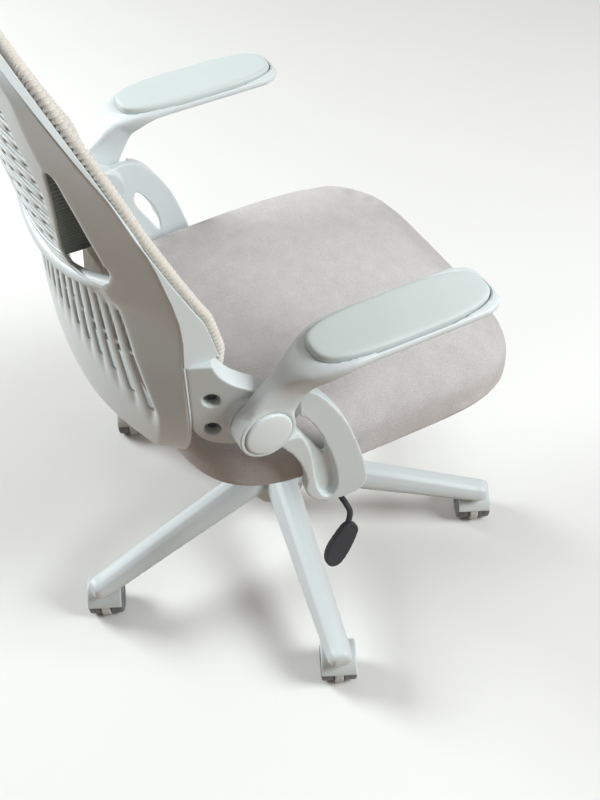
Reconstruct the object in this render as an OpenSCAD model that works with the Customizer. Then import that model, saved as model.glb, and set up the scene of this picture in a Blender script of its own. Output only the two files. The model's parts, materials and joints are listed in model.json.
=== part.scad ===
// Swivel office chair with a slotted back, a mesh backrest, flip-up arms and a five-legged base.
// Millimetres, +Z up, front towards -Y, origin on the floor on the column's axis.

/* [Overall] */
// Height of the cushion's crown above the floor
seat_top = 480; // [472:1:490]
// Height of the back's top edge above the floor
back_top = 1010; // [970:5:1050]

/* [Base] */
// Radius from the column's axis to each castor's stem
castor_r = 318; // [290:1:335]
// Turn of the first leg from the +X axis, in degrees
leg_yaw = 97; // [0:1:143]
// Height of a leg's ridge where it leaves the hub
leg_root_z = 156; // [148:1:166]
// Height of a leg's ridge at its tip
leg_tip_z = 88; // [84:1:94]
// Width of a leg's flat top
leg_top_w = 19; // [14:1:26]
// Width of a leg at its underside, at the hub
leg_root_w = 46; // [42:1:54]
// Width of a leg at its underside, at the tip
leg_tip_w = 35; // [32:1:42]
// Depth of a leg at the hub
leg_root_h = 44; // [36:1:50]
// Depth of a leg at its tip
leg_tip_h = 26; // [22:1:28]
// Outer radius of the hub
hub_r = 42; // [38:1:54]

/* [Castors] */
// Wheel diameter
wheel_d = 54; // [50:1:55]
// Width of one wheel
wheel_w = 19; // [16:1:22]
// Gap between a castor's two wheels
wheel_gap = 14; // [12:1:18]
// Diameter of a castor's stem
stem_d = 11; // [10:0.5:12]
// Diameter of a castor's axle
axle_d = 8; // [6:0.5:9]
// Distance from the stem's axis to the axle
castor_trail = 14; // [10:1:18]
// Direction in which the castors trail, in degrees from +X
castor_heading = 335; // [0:5:355]

/* [Column] */
// Diameter of the column's outer tube
column_d = 50; // [48:1:56]
// Top of the column's outer tube
column_top_z = 254; // [246:1:260]
// Diameter of the gas spring's tube
gas_d = 28; // [26:1:30]

/* [Mechanism] */
// Width of the mechanism's housing
housing_w = 84; // [76:1:92]
// Height of the housing
housing_h = 40; // [36:1:42]
// Diameter of the tilt axle
tilt_axle_d = 10; // [8:1:12]
// Distance of the tilt axle in front of the column's axis
tilt_ahead = 30; // [26:1:36]
// Diameter of the tension knob
knob_d = 54; // [44:1:60]
// Height of the tension knob
knob_h = 32; // [24:1:38]
// Thickness of the steel top plate
top_plate_t = 4; // [3:0.5:5]

/* [Lever] */
// Diameter of the lever's rod
lever_d = 8; // [6:0.5:9]
// Reach of the rod past the boss's outer face, sideways
lever_out = 9; // [3:1:19]
// Width of the lever's flat paddle
paddle_w = 40; // [30:1:44]
// Length of the paddle
paddle_l = 70; // [60:1:84]
// Thickness of the paddle
paddle_t = 9; // [8.5:0.5:12]

/* [Seat] */
// Width of the cushion
seat_w = 502; // [480:2:506]
// Depth of the cushion, front to back
seat_d = 505; // [480:5:520]
// Distance of the cushion's rear edge behind the column's axis
seat_rear = 205; // [198:1:208]
// Thickness of the cushion at its crown
cushion_t = 98; // [90:1:104]
// Thickness of the seat pan
pan_t = 10; // [8:1:12]

/* [Brackets] */
// Height of the arm's hub above the floor
hub_z = 554; // [548:1:562]
// Distance of the arm's hub behind the column's axis
hub_y = 138; // [134:1:142]
// Distance from the cushion's side to the boss's outer face
boss_clear = 6; // [4:1:11]
// Radius of the boss at the hub
boss_r = 36; // [33:1:39]
// Thickness of the loop beside the seat
loop_t = 17; // [14:1:18]
// Drop from the hub to the loop's foot
loop_drop = 186; // [180:1:188]
// Reach of the loop in front of the hub
loop_reach = 138; // [130:1:144]
// Splay of the loop towards the front, in degrees
loop_splay = 7.5; // [6:0.5:9]
// Thickness of the upper block between hub and back
block_t = 26; // [22:1:30]
// Depth of the recess in the loop's outer face
recess_depth = 10; // [6:1:12]
// Diameter of the two screw recesses
screw_recess_d = 20; // [16:1:22]
// Thickness of the foot under the seat
foot_t = 14; // [11:1:16]

/* [Arms] */
// Radius of the arm's round end
arm_hub_r = 36; // [34:1:38]
// Thickness of the arm at its round end
arm_hub_t = 27; // [24:1:30]
// Width of the arm under its pad
arm_w = 88; // [78:1:94]
// Length of the arm's flat part
arm_l = 240; // [226:1:256]
// Thickness of the arm's flat part
arm_shell_t = 17; // [14:1:20]
// Distance of the flat part's rear end behind the column's axis
arm_rear_y = 86; // [80:1:92]
// Height of the pad's top above the floor
pad_z = 662; // [652:1:672]
// Distance from the boss's outer face to the pad's middle line
pad_out = 22; // [17:1:29]
// Thickness of the soft pad
pad_t = 12; // [10:1:14]
// Diameter of the pivot pin
pin_d = 16; // [12:1:20]
// Diameter of the round cover cap
cap_d = 60; // [52:1:64]

/* [Back] */
// Distance from the boss's outer face in to the back frame's side
back_inset = 32; // [28:1:36]
// Height of the seam between bracket and back frame
seam_z = 641; // [637:1:646]
// Distance of the seam behind the column's axis
seam_y = 207; // [205:1:211]
// Depth of the lower shell's bulge behind the seam
bowl_depth = 70; // [50:1:84]
// Lean of the back from the seam to its top
lean_depth = 150; // [130:1:170]
// Wall thickness of the back frame
shell_t = 4; // [3:0.5:6]
// Thickness of the frame's side walls
side_t = 12; // [9:1:16]
// Height of the lower shell's bottom edge
shell_bottom_z = 450; // [440:1:460]
// Height of the curved rim's lowest point
rim_z = 695; // [688:1:702]
// Height of the rim's band
rim_h = 14; // [10:1:18]
// Depth of the fan's flutes
flute_depth = 3; // [1:0.5:5]
// Number of slots in the fan, an odd number
slot_count = 15; // [11:2:17]
// Width of a slot
slot_w = 8; // [4:0.5:9]

/* [Backrest] */
// Thickness of the mesh
mesh_t = 4; // [3:0.5:6]
// Diameter of the rolled edge
roll_d = 13; // [10:0.5:15]
// Distance from the back frame's side in to the mesh's side
mesh_inset = 5; // [3:1:11]
// Height of the mesh's bottom edge
mesh_bottom_z = 530; // [525:1:545]

/* [Hidden] */
LEGS = [1 : 5];
SIDES = ["right", "left"];

$fn = 48;
// Radial clearance of a running fit
fit = 0.05;
// Gap between soft or curved neighbours
gap = 0.4;
// Overrun of every cut
over = 1;
leg_pitch = 360 / 5;
// Distance from the middle plane to the boss's outer face
boss_x = seat_w / 2 + boss_clear;
boss_depth = 26;
back_half_w = boss_x - back_inset;
mesh_half_w = back_half_w - mesh_inset;
pad_x = boss_x + pad_out;
lever_reach = boss_x + lever_out;

// Value part of the way from a to b, for numbers and points
function mix(a, b, t) = a + (b - a) * t;

// Value that eases from 0 to 1 while t goes from 0 to 1
function ease(t) = let (c = min(1, max(0, t))) c * c * (3 - 2 * c);

// Closed outline with its corners cut n times
function soften(p, n) = n == 0 ? p : soften(
    [for (i = [0 : len(p) - 1], t = [1 / 4, 3 / 4]) mix(p[i], p[(i + 1) % len(p)], t)],
    n - 1
);

// Outline point of a rounded rectangle with half sizes a and b, its corners squarer with a larger n
function rounded(a, b, n, angle) =
    let (c = cos(angle), s = sin(angle))
    [a * sign(c) * pow(abs(c), 2 / n), b * sign(s) * pow(abs(s), 2 / n)];

// Outline given as shares of a width and a height
function scaled(shares, w, h) = [for (p = shares) [p[0] * w, p[1] * h]];

function total(v, i = 0) = i == len(v) ? 0 : v[i] + total(v, i + 1);
function middle(points) = [for (k = [0 : 2]) total([for (p = points) p[k]]) / len(points)];

// Triangles between rings of m points; the rings turn counterclockwise about the way they follow
function side_faces(m, last) = [
    for (i = [0 : last - 1], j = [0 : m - 1])
        let (a = i * m + j, b = i * m + (j + 1) % m)
            each [[a, b + m, b], [a, a + m, b + m]]
];

// Solid through a list of rings, closed by a fan at each end
module skin(rings) {
    m = len(rings[0]);
    last = len(rings) - 1;
    ring_points = [for (r = rings) each r];
    start = [for (j = [0 : m - 1]) [len(ring_points), j, (j + 1) % m]];
    end = [for (j = [0 : m - 1]) [len(ring_points) + 1, last * m + (j + 1) % m, last * m + j]];
    polyhedron(
        concat(ring_points, [middle(rings[0]), middle(rings[last])]),
        concat(side_faces(m, last), start, end),
        convexity = 6
    );
}

// Solid through level rings that may be hollow in outline, closed by flat faces
module level_skin(rings) {
    m = len(rings[0]);
    last = len(rings) - 1;
    ends = [[for (j = [0 : m - 1]) j], [for (j = [m - 1 : -1 : 0]) last * m + j]];
    polyhedron([for (r = rings) each r], concat(side_faces(m, last), ends), convexity = 10);
}

// Cylinder along X from x0 to x1
module rod_x(r, x0, x1) {
    translate([x0, 0, 0])
        rotate([0, 90, 0])
            cylinder(r = r, h = x1 - x0);
}

// Piece for a side, drawn on +X: the sitter's right is towards -X
module on_side(s) {
    mirror([s == "left" ? 0 : 1, 0, 0])
        children();
}

// Base: star, column tube and gas spring

leg_tip_over = 18;
hub_bottom_z = 88;
hub_lip = 3;
socket_depth = 17;
column_bottom_z = 72;
column_wall = 2.5;
column_cap_h = 14;
gas_bottom_z = 128;
housing_bottom_z = 310;
gas_roof = 6;
gas_top_z = housing_bottom_z + housing_h - gas_roof;
// Corner of a leg's section between its sloping side and its upright side, as a share of its depth
leg_knee_share = 0.55;
// A leg's tip, from the castor outwards: share of the overhang, of the width and of the depth
leg_tip_shares = [[0, 1, 1], [0.75, 0.85, 0.9], [1, 0.6, 0.6]];

function leg_ring(x, z, h, w) = [
    for (p = soften([
        [-w / 2, -h], [w / 2, -h], [w / 2, -h * leg_knee_share],
        [leg_top_w / 2, 0], [-leg_top_w / 2, 0], [-w / 2, -h * leg_knee_share]
    ], 1)) [x, p[0], z + p[1]]
];

module leg() {
    mid_share = 1 / 2;
    skin(concat(
        [leg_ring((hub_r + column_d / 2) / 2, leg_root_z, leg_root_h, leg_root_w)],
        [leg_ring(hub_r, leg_root_z, leg_root_h, leg_root_w)],
        [leg_ring(
            mix(hub_r, castor_r, mid_share), mix(leg_root_z, leg_tip_z, mid_share),
            mix(leg_root_h, leg_tip_h, mid_share), mix(leg_root_w, leg_tip_w, mid_share)
        )],
        [for (s = leg_tip_shares) leg_ring(
            castor_r + s[0] * leg_tip_over, leg_tip_z - (1 - s[2]) * leg_tip_h,
            leg_tip_h * s[2], leg_tip_w * s[1]
        )]
    ));
}

module base_star() {
    color("#c5d0d2")
        difference() {
            union() {
                translate([0, 0, hub_bottom_z])
                    cylinder(r = hub_r, h = leg_root_z + hub_lip - hub_bottom_z);
                for (i = LEGS)
                    rotate([0, 0, leg_yaw + (i - 1) * leg_pitch])
                        leg();
            }
            translate([0, 0, column_bottom_z])
                cylinder(d = column_d, h = column_top_z);
            for (i = LEGS)
                rotate([0, 0, leg_yaw + (i - 1) * leg_pitch])
                    translate([castor_r, 0, leg_tip_z - leg_tip_h - over])
                        cylinder(d = stem_d + 2 * fit, h = socket_depth + over);
        }
}

module column_tube() {
    color("#3a3c3e")
        difference() {
            union() {
                translate([0, 0, column_bottom_z])
                    cylinder(d = column_d, h = column_top_z - column_bottom_z);
                translate([0, 0, column_top_z - column_cap_h])
                    cylinder(d = column_d + 2 * column_wall, h = column_cap_h);
            }
            translate([0, 0, column_bottom_z - over])
                cylinder(d = gas_d + 2 * fit, h = column_top_z - column_bottom_z + 2 * over);
        }
}

module gas_spring() {
    color("#2b2d2f")
        translate([0, 0, gas_bottom_z])
            cylinder(d = gas_d, h = gas_top_z - gas_bottom_z);
}

// Castors

wheel_r = wheel_d / 2;
hood_gap = 1.5;
hood_t = 3;
hood_top_z = wheel_d + hood_gap + hood_t;
spine_gap = 0.6;
spine_w = wheel_gap - 2 * spine_gap;
spine_rise = 3;
castor_w = wheel_gap + 2 * wheel_w;
wheel_edge = 3;
axle_inset = 2;
stem_base_rise = 9;
stem_collar_w = 3;
stem_base_z = wheel_r + stem_base_rise;

// Copy at leg i, in the castor's own frame: stem on the Z axis, axle along Y, trailing towards +X
module at_castor(i) {
    a = leg_yaw + (i - 1) * leg_pitch;
    translate([castor_r * cos(a), castor_r * sin(a), 0])
        rotate([0, 0, castor_heading])
            children();
}

// Cylinder along Y about the castor's axle, from y0 to y1
module about_axle(r, y0, y1) {
    translate([castor_trail, y1, wheel_r])
        rotate([90, 0, 0])
            cylinder(r = r, h = y1 - y0);
}

module castor_hood(i) {
    color("#c5d0d2")
        at_castor(i)
            difference() {
                union() {
                    // Roof over both wheels
                    difference() {
                        about_axle(wheel_r + hood_gap + hood_t, -castor_w / 2, castor_w / 2);
                        about_axle(wheel_r + hood_gap, -castor_w, castor_w);
                        translate([castor_trail - wheel_d, -castor_w, -wheel_d])
                            cube([2 * wheel_d, 2 * castor_w, wheel_d + wheel_r]);
                    }
                    // Spine between the wheels
                    difference() {
                        about_axle(wheel_r + hood_gap + hood_t / 2, -spine_w / 2, spine_w / 2);
                        translate([castor_trail - wheel_d, -castor_w, -wheel_d])
                            cube([2 * wheel_d, 2 * castor_w, wheel_d + spine_rise]);
                    }
                }
                about_axle(axle_d / 2, -castor_w, castor_w);
                translate([0, 0, stem_base_z])
                    cylinder(d = stem_d, h = wheel_d);
            }
}

module castor_stem(i) {
    color("#8d9396")
        at_castor(i) {
            translate([0, 0, stem_base_z])
                cylinder(d = stem_d, h = leg_tip_z - leg_tip_h + socket_depth - over - stem_base_z);
            translate([0, 0, hood_top_z])
                cylinder(d = stem_d + 2 * stem_collar_w, h = leg_tip_z - leg_tip_h - hood_top_z - gap);
        }
}

module castor_axle(i) {
    color("#8d9396")
        at_castor(i)
            about_axle(axle_d / 2, axle_inset - castor_w / 2, castor_w / 2 - axle_inset);
}

module castor_wheels(i) {
    color("#4a4e51")
        at_castor(i)
            for (s = [-1, 1])
                translate([castor_trail, s * (wheel_gap / 2), wheel_r])
                    rotate([s * -90, 0, 0])
                        rotate_extrude()
                            polygon([
                                [axle_d / 2 + fit, 0],
                                [wheel_r - wheel_edge / 2, 0],
                                [wheel_r, wheel_edge / 2],
                                [wheel_r, wheel_w - wheel_edge],
                                [wheel_r - wheel_edge, wheel_w],
                                [axle_d / 2 + fit, wheel_w]
                            ]);
}

// Mechanism

cushion_bottom_z = seat_top - cushion_t;
pan_bottom_z = cushion_bottom_z;
top_plate_w = 190;
top_plate_front = 110;
top_plate_rear = 90;
cheek_t = 4;
cheek_h = 42;
cheek_l = 60;
cheek_gap = 0.5;
tilt_drop = 24;
tilt_y = -tilt_ahead;
tilt_z = pan_bottom_z - top_plate_t - tilt_drop;
housing_front = 104;
housing_rear = 52;
housing_nose_h = 24;
nose_w = 46;
ear_r = 14;
knob_clear = 1;
knob_y = -(housing_rear + knob_d / 2 + knob_clear);
knob_grip = 3;
knob_ribs = 12;
knob_screw_d = 12;
knob_drop = 3;
knob_top_z = housing_bottom_z + housing_h - housing_nose_h - knob_drop;
knob_screw_l = 34;
fulcrum_y = 16;
fulcrum_rise = 26;
fulcrum_z = housing_bottom_z + fulcrum_rise;
sleeve_r = 9;
sleeve_l = 16;
bolt_d = 6;
bolt_head_d = 12;
bolt_head_h = 4;
bolt_inset = 18;
bolt_bite = 5;

module mechanism_housing() {
    color("#2f3133")
        difference() {
            union() {
                translate([-housing_w / 2, -housing_rear, housing_bottom_z])
                    cube([housing_w, 2 * housing_rear, housing_h]);
                translate([-nose_w / 2, -housing_front, housing_bottom_z + housing_h - housing_nose_h])
                    cube([nose_w, housing_front, housing_nose_h]);
                translate([0, tilt_y, tilt_z])
                    rod_x(ear_r, -housing_w / 2, housing_w / 2);
                translate([0, fulcrum_y, fulcrum_z])
                    rod_x(sleeve_r, -housing_w / 2 - sleeve_l, -housing_w / 2);
            }
            translate([0, 0, housing_bottom_z - over])
                cylinder(d = gas_d + 2 * fit, h = gas_top_z - housing_bottom_z + over);
            translate([0, tilt_y, tilt_z])
                rod_x(tilt_axle_d / 2, -housing_w, housing_w);
            translate([0, knob_y, housing_bottom_z])
                cylinder(d = knob_screw_d + 2 * fit, h = housing_h - bolt_head_h);
            translate([0, fulcrum_y, fulcrum_z])
                rod_x(lever_d / 2 + fit, -housing_w / 2 - sleeve_l - over, -housing_w / 2 + sleeve_l);
        }
}

function bolt_places() = [
    for (x = [-1, 1], y = [bolt_inset - top_plate_front, top_plate_rear - bolt_inset])
        [x * (top_plate_w / 2 - bolt_inset), y]
];

module top_plate() {
    color("#2f3133")
        difference() {
            union() {
                translate([-top_plate_w / 2, -top_plate_front, pan_bottom_z - top_plate_t])
                    cube([top_plate_w, top_plate_front + top_plate_rear, top_plate_t]);
                for (s = [0, 1])
                    mirror([s, 0, 0])
                        translate([housing_w / 2 + cheek_gap, tilt_y - cheek_l / 2, pan_bottom_z - cheek_h])
                            cube([cheek_t, cheek_l, cheek_h - top_plate_t / 2]);
            }
            translate([0, tilt_y, tilt_z])
                rod_x(tilt_axle_d / 2 + fit, -housing_w, housing_w);
            for (p = bolt_places())
                translate([p[0], p[1], pan_bottom_z - top_plate_t - over])
                    cylinder(d = bolt_d, h = top_plate_t + 2 * over);
        }
}

// Bolt pointing up, its head below z = 0
module bolt(l) {
    translate([0, 0, -bolt_head_h])
        cylinder(d = bolt_head_d, h = bolt_head_h);
    cylinder(d = bolt_d, h = l);
}

module plate_bolts() {
    color("#77797b")
        for (p = bolt_places())
            translate([p[0], p[1], pan_bottom_z - top_plate_t])
                bolt(top_plate_t + bolt_bite);
}

module tilt_axle() {
    half = housing_w / 2 + cheek_t + 2 * cheek_gap;
    color("#77797b")
        translate([0, tilt_y, tilt_z])
            rod_x(tilt_axle_d / 2, -half, half);
}

module tension_knob() {
    color("#26282a")
        difference() {
            translate([0, knob_y, knob_top_z - knob_h])
                cylinder(d = knob_d, h = knob_h);
            for (i = [0 : knob_ribs - 1])
                translate([0, knob_y, knob_top_z - knob_h - over])
                    rotate([0, 0, i * 360 / knob_ribs])
                        translate([knob_d / 2 + knob_grip / 2, 0, 0])
                            cylinder(r = knob_grip, h = knob_h * 3 / 4);
            translate([0, knob_y, knob_top_z - knob_h / 2])
                cylinder(d = knob_screw_d, h = knob_h);
        }
}

module knob_screw() {
    color("#77797b")
        translate([0, knob_y, knob_top_z - knob_h / 2])
            cylinder(d = knob_screw_d, h = knob_screw_l);
}

// Height lever

rod_sides = 10;
rod_start_x = housing_w / 2;
rod_straight_x = housing_w / 2 + sleeve_l + lever_d;
rod_end_y = 31;
rod_end_drop = 30;
paddle_grip = 10;
paddle_turn = 20;
paddle_tilt = 8;

// Route of the rod on the sitter's right, from the fulcrum out past the bracket and down to the paddle
rod_route = [
    [-rod_straight_x, fulcrum_y, fulcrum_z],
    [-lever_reach + 5 * lever_d, fulcrum_y + lever_d, fulcrum_z + lever_d / 4],
    [-lever_reach + lever_d, fulcrum_y + lever_d, fulcrum_z + lever_d / 4],
    [-lever_reach - lever_d / 2, fulcrum_y + lever_d * 0.7, fulcrum_z - lever_d],
    [-lever_reach - lever_d, fulcrum_y + lever_d, fulcrum_z - 2 * lever_d],
    [-lever_reach - lever_d * 3 / 2, rod_end_y, fulcrum_z - rod_end_drop]
];
rod_end = rod_route[len(rod_route) - 1];

// Ring of a tube around the point p, square to the direction d
function tube_ring(p, d, r) =
    let (
        f = d / norm(d),
        a = cross(f, [0, 1, 0]),
        u = a / norm(a),
        v = cross(f, u)
    )
    [for (k = [0 : rod_sides - 1]) p + r * (cos(k * 360 / rod_sides) * u + sin(k * 360 / rod_sides) * v)];

function route_direction(route, i) = route[min(len(route) - 1, i + 1)] - route[max(0, i - 1)];

module lever_rod() {
    color("#1f2021") {
        skin([for (i = [0 : len(rod_route) - 1]) tube_ring(rod_route[i], route_direction(rod_route, i), lever_d / 2)]);
        translate([0, fulcrum_y, fulcrum_z])
            rod_x(lever_d / 2, -rod_straight_x - gap, -rod_start_x);
    }
}

// Paddle seen from the side: shares of its width and length, its top at the rod's end
paddle_shares = [
    [0.5, 0.08], [0.18, -0.04], [-0.1, 0.0], [-0.34, 0.3], [-0.5, 0.55],
    [-0.46, 0.84], [-0.2, 1], [0.2, 0.97], [0.42, 0.6], [0.5, 0.3]
];

module lever_paddle() {
    color("#232425")
        difference() {
            translate([rod_end[0] - paddle_t / 2, rod_end_y, rod_end[2] + paddle_grip])
                rotate([paddle_turn, paddle_tilt, 0])
                    rotate([90, 0, 90])
                        linear_extrude(paddle_t)
                            polygon(soften([for (p = scaled(paddle_shares, paddle_w, paddle_l)) [-p[0], -p[1]]], 2));
            rod_hole();
        }
}

// Space that the rod's end takes in the paddle
module rod_hole() {
    n = len(rod_route);
    skin([for (i = [n - 2 : n - 1]) tube_ring(rod_route[i], route_direction(rod_route, i), lever_d / 2 + fit)]);
}

// Seat

seat_mid_y = seat_rear - seat_d / 2;
seat_corner = 4.3;
seat_facets = 56;
pan_inset = 74;
front_drop = 16;
rear_taper_share = 0.02;
// Cushion from the hollow for the pan round its side to the crown: share of the height, share of the inset
cushion_shares = [
    [pan_t / (cushion_t - gap), 0.285], [0.01, 0.25], [0.0, 0.16], [0.02, 0.09], [0.09, 0.03], [0.22, 0.005], [0.38, 0], [0.56, 0.008],
    [0.71, 0.035], [0.82, 0.085], [0.9, 0.16], [0.955, 0.27], [0.985, 0.44], [1, 0.7]
];

// Outline point of the cushion, inset by a share of its half size
function seat_point(angle, inset_share) =
    let (
        p = rounded(seat_w / 2, seat_d / 2, seat_corner, angle),
        taper = 1 - rear_taper_share * max(0, p[1] / (seat_d / 2))
    )
    [p[0] * taper * (1 - inset_share), seat_mid_y + p[1] * (1 - inset_share)];

// Fall of the cushion's front to a waterfall edge
function front_fall(y, height_share) =
    front_drop * pow(height_share, 2) * pow(max(0, (seat_mid_y - y) / (seat_d / 2)), 3);

module seat_cushion() {
    color("#c9c4c4")
        skin([
            for (s = cushion_shares)
                [
                    for (k = [0 : seat_facets - 1])
                        let (p = seat_point(k * 360 / seat_facets, s[1]))
                            [p[0], p[1], cushion_bottom_z + gap + s[0] * (cushion_t - gap) - front_fall(p[1], s[0])]
                ]
        ]);
}

module seat_pan() {
    color("#3b3d3f")
        difference() {
            translate([0, 0, pan_bottom_z])
                linear_extrude(pan_t)
                    polygon([for (k = [0 : seat_facets - 1]) seat_point(k * 360 / seat_facets, 2 * pan_inset / seat_w)]);
            for (p = bolt_places())
                translate([p[0], p[1], pan_bottom_z - over])
                    cylinder(d = bolt_d, h = bolt_bite + over);
            for (s = SIDES, y = foot_bolt_y)
                on_side(s)
                    translate([foot_bolt_x, y, pan_bottom_z - over])
                        cylinder(d = bolt_d, h = bolt_bite + over);
        }
}

// Side brackets, drawn on the +X side

// Outline of the loop from the hub: share of the reach forwards, share of the drop upwards
loop_shares = [
    [-0.1, -0.1], [0.1, -0.24], [0.2, -0.34], [0.31, -0.45], [0.39, -0.6], [0.43, -0.75], [0.4, -0.83],
    [0.44, -0.92], [0.54, -1], [0.66, -1.03], [0.8, -1.02], [0.95, -1], [1.02, -0.93], [1, -0.78],
    [0.95, -0.6], [0.85, -0.35], [0.78, -0.22], [0.67, -0.07], [0.52, 0.09], [0.3, 0.17], [-0.1, 0.12]
];
// Recess in the loop's outer face, between the outer band and the inner arm
recess_shares = [
    [0.36, -0.06], [0.5, -0.2], [0.61, -0.42], [0.69, -0.62], [0.72, -0.8], [0.71, -0.93], [0.64, -0.98],
    [0.57, -0.95], [0.53, -0.87], [0.5, -0.73], [0.48, -0.53], [0.43, -0.34], [0.32, -0.22]
];
// Opening through the loop, next to the hub
hole_shares = [
    [0.38, -0.11], [0.5, -0.24], [0.58, -0.36], [0.6, -0.47], [0.57, -0.5], [0.5, -0.41], [0.42, -0.32], [0.35, -0.22]
];
// Outline of the upper block from the hub: share of the way to the seam, share of the rise to it
block_shares = [
    [-0.25, -0.3], [0.1, -0.44], [0.45, -0.48], [0.8, -0.42], [1, -0.21], [1.08, 0], [1.08, 0.5],
    [1.08, 1.1], [0.64, 1.1], [0.56, 0.84], [0.34, 0.64], [0, 0.52], [-0.25, 0.3]
];
block_length = seam_y - gap - hub_y;
block_rise = seam_z - hub_z;
block_splay = atan((boss_x - back_half_w) / block_length);
boss_inner_x = boss_x - boss_depth;
arm_sweep_r = 52;
foot_inner_x = 118;
foot_w = 60;
foot_y = 32;
foot_bolt_spread = 18;
foot_bolt_y = [foot_y - foot_bolt_spread, foot_y + foot_bolt_spread];
foot_bolt_x = 140;
// The foot ends inside the splayed loop
foot_outer_x = boss_x + (hub_y - foot_y) * tan(loop_splay) - loop_t / 2;
screw_head_d = 12;
screw_head_h = 6;
screw_recess_depth = 14;
// Places of the two screws: share of the way to the seam, share of the rise
screw_shares = [[0.68, 0.38], [0.71, -0.16]];

// Outline in the bracket's side view, where forwards is towards -Y
function side_outline(shares, forwards, upwards) = scaled(shares, -forwards, upwards);

// Extrudes an outline drawn in Y and Z, from depth d0 to depth d1 below the outer face
module side_slab(d0, d1) {
    translate([-d1, 0, 0])
        rotate([90, 0, 90])
            linear_extrude(d1 - d0)
                children();
}

// Frame on the boss's outer face at the hub, turned about the vertical
module boss_frame(turn) {
    translate([boss_x, hub_y, hub_z])
        rotate([0, 0, turn])
            children();
}

module at_screws() {
    boss_frame(block_splay)
        for (p = screw_shares)
            translate([0, p[0] * block_length / cos(block_splay), p[1] * block_rise])
                rotate([0, -90, 0])
                    children();
}

module bracket_body() {
    boss_frame(loop_splay)
        side_slab(0, loop_t)
            polygon(soften(side_outline(loop_shares, loop_reach, loop_drop), 2));
    boss_frame(block_splay)
        side_slab(0, block_t)
            polygon(soften(side_outline(block_shares, -block_length / cos(block_splay), block_rise), 1));
    translate([0, hub_y, hub_z])
        rod_x(boss_r, boss_inner_x, boss_x);
    translate([foot_inner_x, foot_y - foot_w / 2, pan_bottom_z - foot_t])
        cube([foot_outer_x - foot_inner_x, foot_w, foot_t]);
}

module bracket(side) {
    color("#c9d3d6")
        on_side(side)
            difference() {
                bracket_body();
                boss_frame(loop_splay) {
                    side_slab(-over, recess_depth)
                        polygon(soften(side_outline(recess_shares, loop_reach, loop_drop), 2));
                    side_slab(-over, loop_t + over)
                        polygon(soften(side_outline(hole_shares, loop_reach, loop_drop), 2));
                }
                // Room for the arm to turn in front of the boss
                translate([boss_x, hub_y - arm_sweep_r, hub_z - arm_sweep_r])
                    cube([boss_x, 2 * arm_sweep_r, 2 * arm_sweep_r]);
                // Flat faces of the seam
                translate([0, seam_y - gap, 0])
                    cube([2 * boss_x, boss_x, 2 * seam_z]);
                translate([0, 0, seam_z - gap])
                    cube([2 * boss_x, 2 * boss_x, seam_z]);
                translate([0, hub_y, hub_z]) {
                    rod_x(pin_d / 2, boss_inner_x - block_t, boss_x + over);
                    rod_x(pin_d / 2 + pin_head_h, boss_inner_x - block_t, boss_inner_x);
                }
                at_screws() {
                    translate([0, 0, -over])
                        cylinder(d = screw_recess_d, h = screw_recess_depth + over);
                    cylinder(d = bolt_d, h = 2 * block_t);
                }
                for (y = foot_bolt_y)
                    translate([foot_bolt_x, y, 0])
                        cylinder(d = bolt_d, h = pan_bottom_z + over);
            }
}

module bracket_screws(side) {
    color("#77797b")
        on_side(side)
            at_screws() {
                translate([0, 0, screw_recess_depth - screw_head_h])
                    cylinder(d = screw_head_d, h = screw_head_h);
                translate([0, 0, screw_recess_depth])
                    cylinder(d = bolt_d, h = block_t - screw_recess_depth);
            }
}

module foot_bolts(side) {
    color("#77797b")
        on_side(side)
            for (y = foot_bolt_y)
                translate([foot_bolt_x, y, pan_bottom_z - foot_t])
                    bolt(foot_t + bolt_bite);
}

// Arms, drawn on the +X side

arm_inner_x = boss_x + gap;
arm_outer_x = arm_inner_x + arm_hub_t;
arm_facets = 20;
arm_corner = 3;
pad_corner = 3;
pad_inset = 5;
pad_groove = 1;
cap_t = 5;
cap_dome = 3;
cap_recess = 3;
pin_head_h = 3;
arm_reach = hub_y - arm_rear_y + arm_l;
arm_shell_z = pad_z - pad_t + arm_shell_t * 0.02;
arm_rise = arm_shell_z - hub_z;
// Sections from the hub to the front: share of the reach, of the rise, of the widening, share of the hub's
// radius for its half depth, and the slope of its plane in degrees
arm_section_shares = [
    [0, 0.01, 0, 0.94, 120], [0.047, 0.32, 0, 0.83, 122], [0.115, 0.56, 0.12, 0.64, 125],
    [0.168, 0.76, 0.42, 0.54, 128], [0.222, 0.88, 0.74, 0.42, 140], [0.297, 0.97, 0.96, 0.27, 162],
    [0.4, 1, 1, 0.225, 177], [0.86, 1, 1, 0.215, 180], [0.93, 1, 0.92, 0.21, 180],
    [0.97, 1, 0.74, 0.2, 180], [0.99, 1, 0.5, 0.18, 180], [1, 1, 0.2, 0.12, 180]
];

// Ring of the arm across X
function arm_ring(s) =
    let (
        hub_mid_x = (arm_inner_x + arm_outer_x) / 2,
        x = mix(hub_mid_x, pad_x, min(1, s[2] * 2)),
        half_w = mix(arm_hub_t / 2 - gap, arm_w / 2, s[2]),
        half_t = arm_hub_r * s[3]
    )
    [
        for (k = [0 : arm_facets - 1])
            let (p = rounded(half_w, half_t, arm_corner, -k * 360 / arm_facets))
                [x + p[0], hub_y - s[0] * arm_reach - p[1] * sin(s[4]), hub_z + s[1] * arm_rise + p[1] * cos(s[4])]
    ];

// Outline of the pad, grown by g
function pad_outline(g) = [
    for (k = [0 : 2 * arm_facets - 1])
        let (p = rounded(arm_w / 2 - pad_inset + g, arm_l / 2 - pad_inset + g, pad_corner, k * 180 / arm_facets))
            [pad_x + p[0], arm_rear_y - arm_l / 2 + p[1]]
];

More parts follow.
